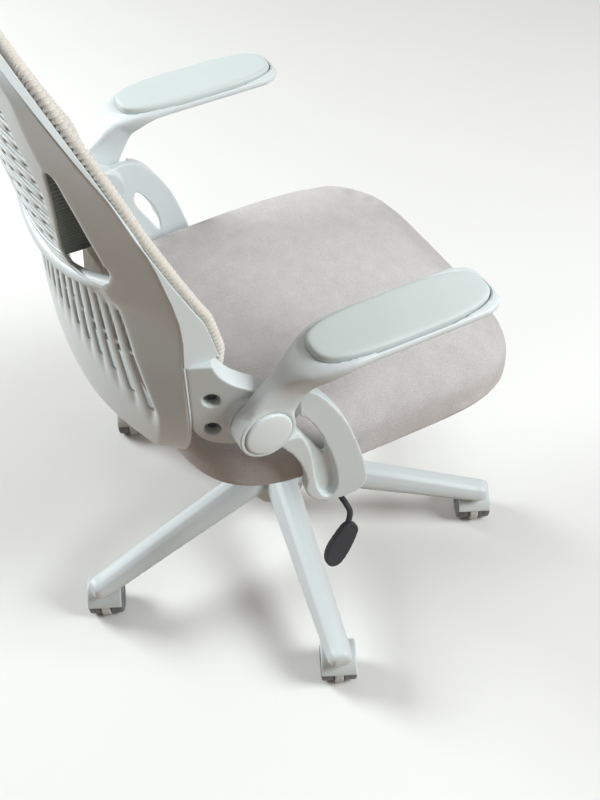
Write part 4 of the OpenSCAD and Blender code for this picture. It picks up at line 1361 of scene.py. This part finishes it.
@dataclass
class Bracket(SubAssembly):
    """Side bracket: open loop beside the seat, boss, and block up to the back frame."""

    hub: HubShape = field(default_factory=HubShape)
    reach: float = 138
    drop: float = 186
    splay: float = 7.5
    loop_t: float = 17
    block_t: float = 26
    recess: float = 10
    seam_y: float = 206.6
    seam_z: float = 640.6
    back_half: float = 225
    foot_y: float = 32
    foot_w: float = 60
    loop_shares: Sequence[Pair] = (
        (-0.1, -0.1), (0.1, -0.24), (0.2, -0.34), (0.31, -0.45), (0.39, -0.6), (0.43, -0.75), (0.4, -0.83),
        (0.44, -0.92), (0.54, -1), (0.66, -1.03), (0.8, -1.02), (0.95, -1), (1.02, -0.93), (1, -0.78),
        (0.95, -0.6), (0.85, -0.35), (0.78, -0.22), (0.67, -0.07), (0.52, 0.09), (0.3, 0.17), (-0.1, 0.12),
    )
    recess_shares: Sequence[Pair] = (
        (0.36, -0.06), (0.5, -0.2), (0.61, -0.42), (0.69, -0.62), (0.72, -0.8), (0.71, -0.93),
        (0.64, -0.98), (0.57, -0.95), (0.53, -0.87), (0.5, -0.73), (0.48, -0.53), (0.43, -0.34),
        (0.32, -0.22),
    )
    hole_shares: Sequence[Pair] = (
        (0.38, -0.11), (0.5, -0.23), (0.59, -0.36), (0.63, -0.5), (0.62, -0.57),
        (0.58, -0.55), (0.5, -0.43), (0.42, -0.33), (0.35, -0.22),
    )
    block_shares: Sequence[Pair] = (
        (-0.25, -0.3), (0.1, -0.44), (0.45, -0.48), (0.8, -0.42), (1, -0.21), (1.08, 0), (1.08, 0.5),
        (1.08, 1.1), (0.64, 1.1), (0.56, 0.84), (0.34, 0.64), (0, 0.52), (-0.25, 0.3),
    )
    screw_shares: Sequence[Pair] = ((0.68, 0.38), (0.71, -0.16))
    screw_cut: Sequence[Pair] = ((0, -3), (10.6, -3), (10.2, 0), (9.6, 13.9), (0, 13.9))
    foot_x: float = 118
    foot_z: Pair = (368.2, 382)
    clear: float = 52

    def frame_at(self, degrees: float) -> Matrix:
        """Frame on the boss's outer face, turned about the upright."""
        return at(self.hub.boss_x, self.hub.y, self.hub.z) @ turn(degrees, "Z")

    def slab(
        self, shares: Sequence[Pair], size: Pair, depths: Pair, degrees: float, rounds: int = 3
    ) -> Shape:
        """Slab from an outline in the side view.

        Args:
            shares: outline, as shares of the size.
            size: length of the first share, towards -Y, and of the second, upwards.
            depths: depths of its outer and inner face below the boss's face.
            degrees: turn about the upright.
            rounds: times that its corners are cut.

        Returns:
            The closed slab.
        """
        outline = soften(scaled(shares, -size[0], size[1]), rounds)
        near, far = -depths[1], -depths[0]
        return moved(prism([(near, y, z) for y, z in outline], (far - near, 0, 0)), self.frame_at(degrees))

    def moulding(self) -> Shape:
        """The bracket's moulding, on +X."""
        h = self.hub
        length = self.seam_y - h.y
        rise = self.seam_z + 0.4 - h.z
        turned_in = math.degrees(math.atan((h.boss_x - self.back_half) / length))
        along = length / math.cos(math.radians(turned_in))
        outer = h.boss_x + (h.y - self.foot_y) * math.tan(math.radians(self.splay)) - self.loop_t / 2
        side, reach, clear = self.splay, (self.reach, self.drop), self.clear
        foot_near, foot_far = self.foot_y - self.foot_w / 2, self.foot_y + self.foot_w / 2
        made = Moulding(1.3, 3)
        made.add(
            self.slab(self.loop_shares, reach, (0, self.loop_t), side),
            self.slab(self.block_shares, (-along, rise), (0, self.block_t), turned_in, 2),
            rod_x(h.boss_r, h.boss_inner_x, h.boss_x, h.y, h.z, 96),
            block((self.foot_x, foot_near, self.foot_z[0]), (outer, foot_far, self.foot_z[1])),
        )
        for y, z in self.screw_shares:
            place = self.frame_at(turned_in) @ at(0, y * along, z * rise) @ turn(-90, "Y")
            made.cut(moved(turned(self.screw_cut, 40), place))
        made.cut(
            self.slab(self.recess_shares, reach, (-2, self.recess), side),
            self.slab(self.hole_shares, reach, (-2, self.loop_t + 4), side),
            block((h.boss_x, h.y - clear, h.z - clear), (2 * h.boss_x, h.y + clear, h.z + clear)),
            block((0, self.seam_y, 0), (600, 500, 900)),
            block((0, 0, self.seam_z), (600, 500, 900)),
            rod_x(h.pin_d / 2 + 0.3, 200, h.boss_x + 3, h.y, h.z),
            rod_x(h.pin_d / 2 + 3.4, 200, h.boss_inner_x, h.y, h.z),
        )
        return made.skin()

    def build(self, frame: dict) -> None:
        """Builds both brackets and dresses their screws."""
        skin = as_mesh(self.moulding(), "bracket")
        for side in Side:
            word, bm = side.word, placed(skin, side.matrix)
            self.show(f"bracket_skin_{word}", bm, "seat_frame", PALE, [f"bracket_{word}"], 50)
            self.dress(frame, [f"bracket_screws_{word}"], COATED)
            self.dress(frame, [f"foot_bolts_{word}"], BRIGHT)


@dataclass
class Armrest(SubAssembly):
    """Flip-up arm with its soft pad and the round cap of its hub."""

    hub: HubShape = field(default_factory=HubShape)
    hub_r: float = 36
    hub_t: float = 27
    width: float = 88
    length: float = 240
    rear_y: float = 86
    pad_z: float = 662
    pad_t: float = 12
    pad_x: float = 279
    pad_inset: float = 5
    cap_d: float = 60
    around: int = 40
    corner: float = 3.6
    pad_rings: Sequence[Pair] = (
        (0.0, 0.5), (0.02, 0.03), (0.0, 0.0), (0.4, -0.004), (0.7, 0.0),
        (0.86, 0.035), (0.95, 0.1), (0.985, 0.24), (1.0, 0.5), (1.0, 0.8),
    )
    section_shares: Sequence[tuple[float, float, float, float, float]] = (
        (0, 0.01, 0, 0.94, 120), (0.047, 0.32, 0, 0.83, 122), (0.115, 0.56, 0.12, 0.64, 125),
        (0.168, 0.76, 0.42, 0.54, 128), (0.222, 0.88, 0.74, 0.42, 140), (0.297, 0.97, 0.96, 0.27, 162),
        (0.4, 1, 1, 0.225, 177), (0.86, 1, 1, 0.215, 180), (0.93, 1, 0.92, 0.21, 180),
        (0.97, 1, 0.74, 0.2, 180), (0.99, 1, 0.5, 0.18, 180), (1, 1, 0.2, 0.12, 180),
    )

    @property
    def inner_x(self) -> float:
        """Face of the hub next to the bracket."""
        return self.hub.boss_x + 0.4

    @property
    def outer_x(self) -> float:
        """Outer face of the hub."""
        return self.inner_x + self.hub_t

    def pad_outline(self, grow: float, count: int) -> Outline:
        """Outline of the pad in X and Y, grown by a little."""
        middle = self.rear_y - self.length / 2
        half_w, half_l = self.width / 2 - self.pad_inset + grow, self.length / 2 - self.pad_inset + grow
        points = [rounded(half_w, half_l, 3, math.tau * k / count) for k in range(count)]
        return [(self.pad_x + x, middle + y) for x, y in points]

    def arm_skin(self) -> bpy.types.Mesh:
        """The arm's moulding, on +X."""
        h = self.hub
        reach = h.y - self.rear_y + self.length
        rise = self.pad_z - self.pad_t + 0.34 - h.z
        sections = spline(self.section_shares, 4)
        middle_x = (self.inner_x + self.outer_x) / 2

        def place(i: int, j: int) -> Triple:
            """Corner i of section j."""
            forwards, up, widening, half, slope = sections[j]
            wide, a = max(0.0, widening), math.radians(slope)
            x = mix(middle_x, self.pad_x, min(1.0, wide * 2))
            half_w = mix(self.hub_t / 2 - 0.2, self.width / 2, min(1.0, wide))
            across, up_down = rounded(half_w, self.hub_r * half, self.corner, -math.tau * i / self.around)
            y = h.y - min(1.0, forwards) * reach - up_down * math.sin(a)
            return (x + across, y, h.z + min(1.0, up) * rise + up_down * math.cos(a))

        made = Moulding(1.7, 3)
        made.add(
            tube(self.around, len(sections) - 1, place),
            rod_x(self.hub_r, self.inner_x, self.outer_x, h.y, h.z, 96),
        )
        floor_z = self.pad_z - self.pad_t
        made.cut(
            prism([(x, y, floor_z) for x, y in self.pad_outline(1.2, 80)], (0, 0, 20)),
            rod_x(h.pin_d / 2 + 0.4, 200, 400, h.y, h.z),
            rod_x(self.cap_d / 2 + 0.6, self.outer_x - 3, 400, h.y, h.z, 96),
        )
        return as_mesh(made.skin(), "arm")

    def pad(self) -> Shape:
        """Soft pad, crowned and rolled in at its edge, on +X."""
        middle_y = self.rear_y - self.length / 2
        outline = self.pad_outline(-0.3, 64)

        def place(i: int, j: int) -> Triple:
            """Corner i of ring j."""
            height, inset = self.pad_rings[j]
            x, y = outline[i]
            along = inset / 2.6 if inset < 0.4 else inset
            z = self.pad_z - self.pad_t * (1 - height) + 0.1
            return (mix(x, self.pad_x, inset), mix(y, middle_y, along), z)

        return tube(len(outline), len(self.pad_rings) - 1, place)

    def cap(self) -> Shape:
        """Round cover cap, on +X."""
        r = self.cap_d / 2 - 0.5
        edge = [(0, 0), (r, 0), (r, 3.6), (r - 0.5, 4.5), (r - 1.6, 5.2), (r - 4, 5.75)]
        profile = [*edge, (r * 0.6, 6.5), (r * 0.3, 6.9), (0, 7)]
        return moved(turned(profile, 96), at(self.outer_x - 3, self.hub.y, self.hub.z) @ ALONG_X)

    def build(self, frame: dict) -> None:
        """Builds both arms."""
        skin = self.arm_skin()
        for side in Side:
            word, matrix = side.word, side.matrix
            body, bm = f"armrest_{word}", placed(skin, matrix)
            self.show(f"arm_skin_{word}", bm, body, PALE, [f"arm_{word}"], 50)
            bm = moved(self.pad(), matrix)
            pad = self.show(f"arm_cushion_{word}", bm, body, SOFT_PAD, [f"arm_pad_{word}"], 180)
            subdivide(pad)
            bm = moved(self.cap(), matrix)
            self.show(f"arm_cap_{word}", bm, body, CAP, [f"hub_cap_{word}"], 60)
            self.dress(frame, [f"pivot_pin_{word}"], BRIGHT)


# Base


@dataclass(frozen=True)
class BaseShape:
    """Places of the legs and castors, in millimetres and degrees."""

    legs: int = 5
    yaw: float = 97
    castor_r: float = 318
    heading: float = 335

    def angle(self, leg: int) -> float:
        """Turn of a leg from +X, in degrees; legs count from 1."""
        return self.yaw + (leg - 1) * 360 / self.legs


@dataclass
class Star(SubAssembly):
    """Five-legged star with its column."""

    shape: BaseShape = field(default_factory=BaseShape)
    hub_r: float = 42
    hub_bottom: float = 88
    root_z: float = 156
    tip_z: float = 88
    top_w: float = 22
    root_w: float = 49
    tip_w: float = 38
    root_h: float = 44
    tip_h: float = 26
    column_d: float = 50
    over: float = 18
    tip_shares: Sequence[Triple] = (
        (0, 1, 1), (0.45, 0.96, 0.97), (0.75, 0.85, 0.9), (0.92, 0.72, 0.75), (1, 0.5, 0.5),
    )
    sleeve: Sequence[Pair] = (
        (14.05, 72), (24, 72), (25, 73), (25, 238.5), (27, 240),
        (27.5, 241), (27.5, 252), (26.5, 254), (16, 254), (14.05, 253),
    )

    def section(self, x: float, z: float, h: float, w: float) -> list[Triple]:
        """Section of a leg across X, h high and w wide, with its top at z."""
        foot, crown = w / 2, self.top_w / 2
        corners = [(-foot, -h), (foot, -h), (foot, -h * 0.55), (crown, 0), (-crown, 0), (-foot, -h * 0.55)]
        top = min(1.0, w / self.tip_w)
        return [(x, a * (top if b == 0 else 1), z + b) for a, b in soften(corners, 1)]

    def leg(self) -> Shape:
        """One leg, along +X."""
        r, root = self.shape.castor_r, (self.root_z, self.root_h, self.root_w)
        rings = [self.section(self.hub_r - 9, *root), self.section(self.hub_r, *root)]
        for t in (0.2, 0.4, 0.6, 0.8):
            z = mix(self.root_z, self.tip_z, t) + 1.2 * math.sin(math.pi * t)
            h, w = mix(self.root_h, self.tip_h, t), mix(self.root_w, self.tip_w, t)
            rings.append(self.section(mix(self.hub_r, r, t), z, h, w))
        for over, wide, deep in self.tip_shares:
            x, z = r + over * self.over, self.tip_z - (1 - deep) * self.tip_h
            rings.append(self.section(x, z, self.tip_h * deep, self.tip_w * wide))
        return tube(len(rings[0]), len(rings) - 1, lambda i, j: rings[j][i])

    def build(self, frame: dict) -> None:
        """Builds the star and the column's pieces."""
        r, foot, top = self.hub_r, self.hub_bottom, self.root_z
        made = Moulding(2.0, 2)
        made.add(turned([(0, foot), (r, foot), (r, top - 1), (r - 3, top + 3), (0, top + 3)], 96))
        made.cut(rod_z(self.column_d / 2 + 0.2, 60, 200, 0, 0, 96))
        for leg in range(1, self.shape.legs + 1):
            made.add(moved(self.leg(), turn(self.shape.angle(leg), "Z")))
        self.show("star_skin", made.skin(), "base", PALE, ["base_star"], 50)
        self.show("column_sleeve", turned(self.sleeve, 96), "base", DARK, ["column_tube"])
        self.dress(frame, ["gas_spring"], COATED)


@dataclass
class Castors(SubAssembly):
    """Twin-wheel castors with their hoods."""

    shape: BaseShape = field(default_factory=BaseShape)
    wheel_d: float = 54
    wheel_w: float = 19
    gap: float = 14
    trail: float = 14
    stem_d: float = 11

    def place(self, leg: int) -> Matrix:
        """Frame of a castor: stem on Z, axle along Y, trailing towards +X."""
        a = math.radians(self.shape.angle(leg))
        r = self.shape.castor_r
        return at(r * math.cos(a), r * math.sin(a), 0) @ turn(self.shape.heading, "Z")

    @property
    def on_axle(self) -> Matrix:
        """Matrix that carries a turned shape from the Z axis onto the axle."""
        return at(self.trail, 0, self.wheel_d / 2) @ ALONG_Y

    def about_axle(self, radius: float, half: float) -> Shape:
        """Cylinder about the axle, as long to both sides."""
        return moved(rod(radius, -half, half, 72), self.on_axle)

    def hood(self) -> bpy.types.Mesh:
        """Hood with the spine between the wheels."""
        r, half = self.wheel_d / 2, self.gap / 2 + self.wheel_w
        low, edge, top = r + 1.5, r + 3.6, r + 4.5
        roof = [(low, -half), (edge, -half), (top, 1 - half), (top, half - 1), (edge, half), (low, half)]
        ridge = [(r + 3, -3.2), (r + 5.6, -2.2), (r + 5.6, 2.2), (r + 3, 3.2)]
        made = Moulding(1.1, 3)
        made.add(
            trimmed(moved(turned(roof, 96), self.on_axle), (0, 0, r + 8), (0, 0, 1)),
            trimmed(self.about_axle(r + 3, (self.gap - 1.2) / 2), (0, 0, 3), (0, 0, 1)),
            trimmed(moved(turned(ridge, 96), self.on_axle), (self.trail + 9, 0, r + 1), (1, 0, 0.35)),
        )
        made.cut(rod_z(self.stem_d / 2, 36, 90, 0, 0), self.about_axle(4.1, 60))
        return as_mesh(made.skin(), "hood")

    def wheel(self) -> Shape:
        """One wheel, its inner face at Y 0, with a dished outer face and a fine tread line."""
        r, w, line = self.wheel_d / 2, self.wheel_w, self.wheel_w / 2
        inner = [(4.1, 0), (r - 3, 0), (r - 1, 0.6), (r, 2)]
        tread = [(r, line - 0.8), (r - 0.7, line), (r, line + 0.8), (r, w - 3.2), (r - 1.2, w - 1)]
        outer = [(r - 3.4, w), (r - 6, w), (r - 7, w - 1.2), (r - 12, w - 1.8), (10, w - 1.2), (7, w - 0.2)]
        return turned([*inner, *tread, *outer, (4.1, w - 0.2)], 72)

    def build(self, frame: dict) -> None:
        """Builds every castor."""
        hood = self.hood()
        for leg in range(1, self.shape.legs + 1):
            here = self.place(leg)
            cover, hidden = placed(hood, here), [f"castor_hood_{leg}"]
            self.show(f"castor_cover_{leg}", cover, f"castor_{leg}", PALE, hidden, 50)
            pair, hidden = bmesh.new(), [f"castor_wheels_{leg}"]
            for sign in (-1, 1):
                on_axle = at(self.trail, sign * self.gap / 2, self.wheel_d / 2) @ turn(-90 * sign, "X")
                pair.from_mesh(as_mesh(moved(self.wheel(), here @ on_axle), "wheel"))
            self.show(f"wheel_pair_{leg}", pair, f"wheels_{leg}", TYRE, hidden, 35)
            self.dress(frame, [f"castor_stem_{leg}", f"castor_axle_{leg}"], BRIGHT)


# Mechanism and lever


@dataclass
class Mechanism(SubAssembly):
    """Tilt mechanism under the seat, its tension knob and the height lever."""

    half_w: float = 42
    body: tuple[Triple, Triple] = ((-42, -52, 310), (42, 52, 350))
    nose: tuple[Triple, Triple] = ((-23, -104, 326), (23, 0, 350))
    tilt_y: float = -30
    tilt_z: float = 354
    tilt_r: float = 14
    spring_bore: float = 14.1
    fulcrum_y: float = 16
    fulcrum_z: float = 336
    fulcrum_r: float = 9
    lever_d: float = 8
    knob_y: float = -80
    knob_r: float = 27
    knob_z: Pair = (291, 323)
    screw_bore: float = 6.1
    dimple_r: float = 3
    dimple_ring: float = 28.5
    route: Sequence[Triple] = (
        (-42, 16, 336), (-66, 16, 336), (-150, 20, 337), (-226, 24, 338), (-252, 24, 338), (-263, 23, 335),
        (-270, 21.6, 328), (-274, 24, 320), (-278, 31, 306), (-279.5, 36, 297),
    )
    dimples: int = 12
    paddle_w: float = 40
    paddle_l: float = 70
    paddle_t: float = 9
    paddle_at: Triple = (-282.5, 31, 316)
    paddle_shares: Sequence[Pair] = (
        (0.5, 0.08), (0.18, -0.04), (-0.1, 0.0), (-0.34, 0.3), (-0.5, 0.55),
        (-0.46, 0.84), (-0.2, 1), (0.2, 0.97), (0.42, 0.6), (0.5, 0.3),
    )

    def build(self, frame: dict) -> None:
        """Builds the housing, knob and lever, and dresses the plate."""
        half, bore = self.half_w, self.screw_bore
        made = Moulding(1.7, 3)
        made.add(
            block(*self.body),
            block(*self.nose),
            rod_x(self.tilt_r, -half, half, self.tilt_y, self.tilt_z),
            rod_x(self.fulcrum_r, -half - 16, -half, self.fulcrum_y, self.fulcrum_z),
        )
        made.cut(
            rod_z(self.spring_bore, 300, 344, 0, 0),
            rod_z(bore + 0.1, 310, 346, 0, self.knob_y),
            rod_x(self.lever_d / 2 + 0.2, -half - 18, 16 - half, self.fulcrum_y, self.fulcrum_z),
        )
        self.show("mechanism_cast", made.skin(), "mechanism", COATED, ["mechanism_housing"], 50)
        foot, top = self.knob_z
        knob = Moulding(1.2, 3)
        knob.add(rod_z(self.knob_r, foot, top, 0, self.knob_y, 96))
        for k in range(self.dimples):
            a = math.tau * k / self.dimples
            x, y = self.dimple_ring * math.cos(a), self.dimple_ring * math.sin(a) + self.knob_y
            knob.cut(rod_z(self.dimple_r, foot - 2, top - 8, x, y, 24))
        knob.cut(rod_z(self.knob_r - 6, foot - 3, foot + 3, 0, self.knob_y, 64))
        knob.cut(rod_z(bore, top - 16, top + 7, 0, self.knob_y))
        self.show("knob_skin", knob.skin(), "knob", BLACK, ["tension_knob"], 50)
        self.dress(frame, ["top_plate"], COATED)
        self.dress(frame, ["tilt_axle", "knob_screw"], BRIGHT)
        self.lever()

    def lever(self) -> None:
        """Bent rod and flat paddle."""
        line, around = spline(self.route, 8), 16
        last, rings = len(line) - 1, []
        for k, p in enumerate(line):
            ahead = (line[min(k + 1, last)] - line[max(k - 1, 0)]).normalized()
            side = ahead.cross(Vector((0, 1, 0))).normalized()
            up = ahead.cross(side)
            turns = [math.tau * i / around for i in range(around)]
            rings.append([p + (side * math.cos(a) + up * math.sin(a)) * self.lever_d / 2 for a in turns])
        bar = tube(around, last, lambda i, j: rings[j][i])
        self.show("lever_bar", bar, "lever", BLACK, ["lever_rod"], 60)
        outline = soften([(-a, -b) for a, b in scaled(self.paddle_shares, self.paddle_w, self.paddle_l)], 3)
        place = at(*self.paddle_at) @ turn(8, "Y") @ turn(20, "X")
        made = Moulding(1.0, 4)
        made.add(moved(prism([(0, y, z) for y, z in outline], (self.paddle_t, 0, 0)), place))
        self.show("lever_grip", made.skin(), "lever", BLACK, ["lever_paddle"], 60)


# Studio


@dataclass
class Studio:
    """Camera, floor and soft lights."""

    eye: Triple = (-1.13, 0.525, 1.5789)
    right: Triple = (-0.47039, -0.88222, -0.02042)
    up: Triple = (0.63079, -0.35233, 0.69135)
    ahead: Triple = (0.61712, -0.31232, -0.72223)
    lens: float = 54.56
    backdrop: Colour = (0.85, 0.85, 0.85, 1)
    fade: Pair = (1.9, 4.2)
    lamps: Sequence[tuple[str, Triple, float, float, float, Triple]] = (
        ("key", (-0.7, -0.66, 0.72), 3.4, 1.4, 0.95, (0.96, 1.0, 1.0)),
        ("rear_fill", (0.76, 0.65, 0.5), 3.4, 1.5, 1.05, (0.94, 0.99, 1.0)),
        ("top", (0.1, -0.1, 1.0), 3.2, 2.4, 0.14, (1.0, 1.0, 1.0)),
    )

    def camera(self) -> None:
        """Camera at the photograph's viewing angle."""
        data = bpy.data.cameras.new("camera")
        data.sensor_fit, data.sensor_width, data.lens = "AUTO", 36, self.lens
        data.clip_start, data.clip_end = 0.05, 50
        obj = bpy.data.objects.new("camera", data)
        columns = [Vector(self.right), Vector(self.up), -Vector(self.ahead)]
        rotation = Matrix([[c[k] for c in columns] for k in range(3)]).to_4x4()
        obj.matrix_world = Matrix.Translation(self.eye) @ rotation
        bpy.context.scene.collection.objects.link(obj)
        bpy.context.scene.camera = obj

    def lamp(
        self, name: str, towards: Triple, distance: float, size: float, level: float, colour: Triple
    ) -> None:
        """Soft square lamp that faces the chair.

        Args:
            name: name of the lamp.
            towards: direction from the chair to the lamp.
            distance: distance of the lamp.
            size: side of the lamp.
            level: light that it gives, where 1 shows a colour as it is.
            colour: colour of the light.
        """
        data = bpy.data.lights.new(name, "AREA")
        data.shape, data.size, data.color = "SQUARE", size, colour
        data.energy = level * math.pi**2 * distance**2
        obj = bpy.data.objects.new(name, data)
        way = Vector(towards).normalized()
        obj.location = Vector((0, 0, 0.5)) + way * distance
        obj.rotation_mode = "QUATERNION"
        obj.rotation_quaternion = way.to_track_quat("Z", "Y")
        bpy.context.scene.collection.objects.link(obj)

    def floor(self) -> None:
        """Pale floor, warm to the light that it sends back, fading into the backdrop."""
        bm = bmesh.new()
        bmesh.ops.create_grid(bm, x_segments=1, y_segments=1, size=14)
        obj = bare_object(as_mesh(bm, "floor"), "floor")
        r = Recipe("floor_paint")
        seen, _ = r.seen()
        pale = r.between(r.noise(3.0, 2.0), tone(232, 232, 231), tone(235, 235, 234))
        r.settle(Base_Color=r.between(seen, tone(150, 128, 108), pale), Roughness=0.8)
        length = r.add("ShaderNodeVectorMath", operation="LENGTH")
        r.feed(length.inputs[0], r.place)
        far = r.add(
            "ShaderNodeMapRange", interpolation_type="SMOOTHSTEP",
            Value=length.outputs["Value"], From_Min=self.fade[0], From_Max=self.fade[1],
        )
        backdrop = r.add("ShaderNodeEmission", Color=self.backdrop).outputs[0]
        share = r.maths("MULTIPLY", far.outputs[0], seen)
        r.feed(r.out.inputs["Surface"], r.either(share, r.shader.outputs["BSDF"], backdrop))
        obj.data.materials.append(r.material)

    def world(self) -> None:
        """Even light from all round, and a pale background."""
        world = bpy.data.worlds.new("studio")
        bpy.context.scene.world = world
        world.use_nodes = True
        nodes = Nodes(world.node_tree)
        seen = nodes.maths("MAXIMUM", *nodes.seen())
        dim = nodes.add("ShaderNodeBackground", Color=(1.0, 0.84, 0.72, 1), Strength=0.17).outputs[0]
        pale = nodes.add("ShaderNodeBackground", Color=self.backdrop, Strength=1.0).outputs[0]
        nodes.add("ShaderNodeOutputWorld", Surface=nodes.either(seen, dim, pale))

    def build(self) -> None:
        """Sets the studio up."""
        self.camera()
        self.floor()
        self.world()
        for lamp in self.lamps:
            self.lamp(*lamp)
        bpy.context.scene.view_settings.view_transform = "Standard"


def main() -> None:
    """Builds the chair on its frame."""
    logging.basicConfig(level=logging.INFO, format="%(name)s: %(message)s")
    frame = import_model()
    Studio().build()
    BackFrame().build()
    MeshPanel().build()
    Seat().build(frame)
    Bracket().build(frame)
    Armrest().build(frame)
    Star().build(frame)
    Castors().build(frame)
    Mechanism().build(frame)


if __name__ == "__main__":
    main()
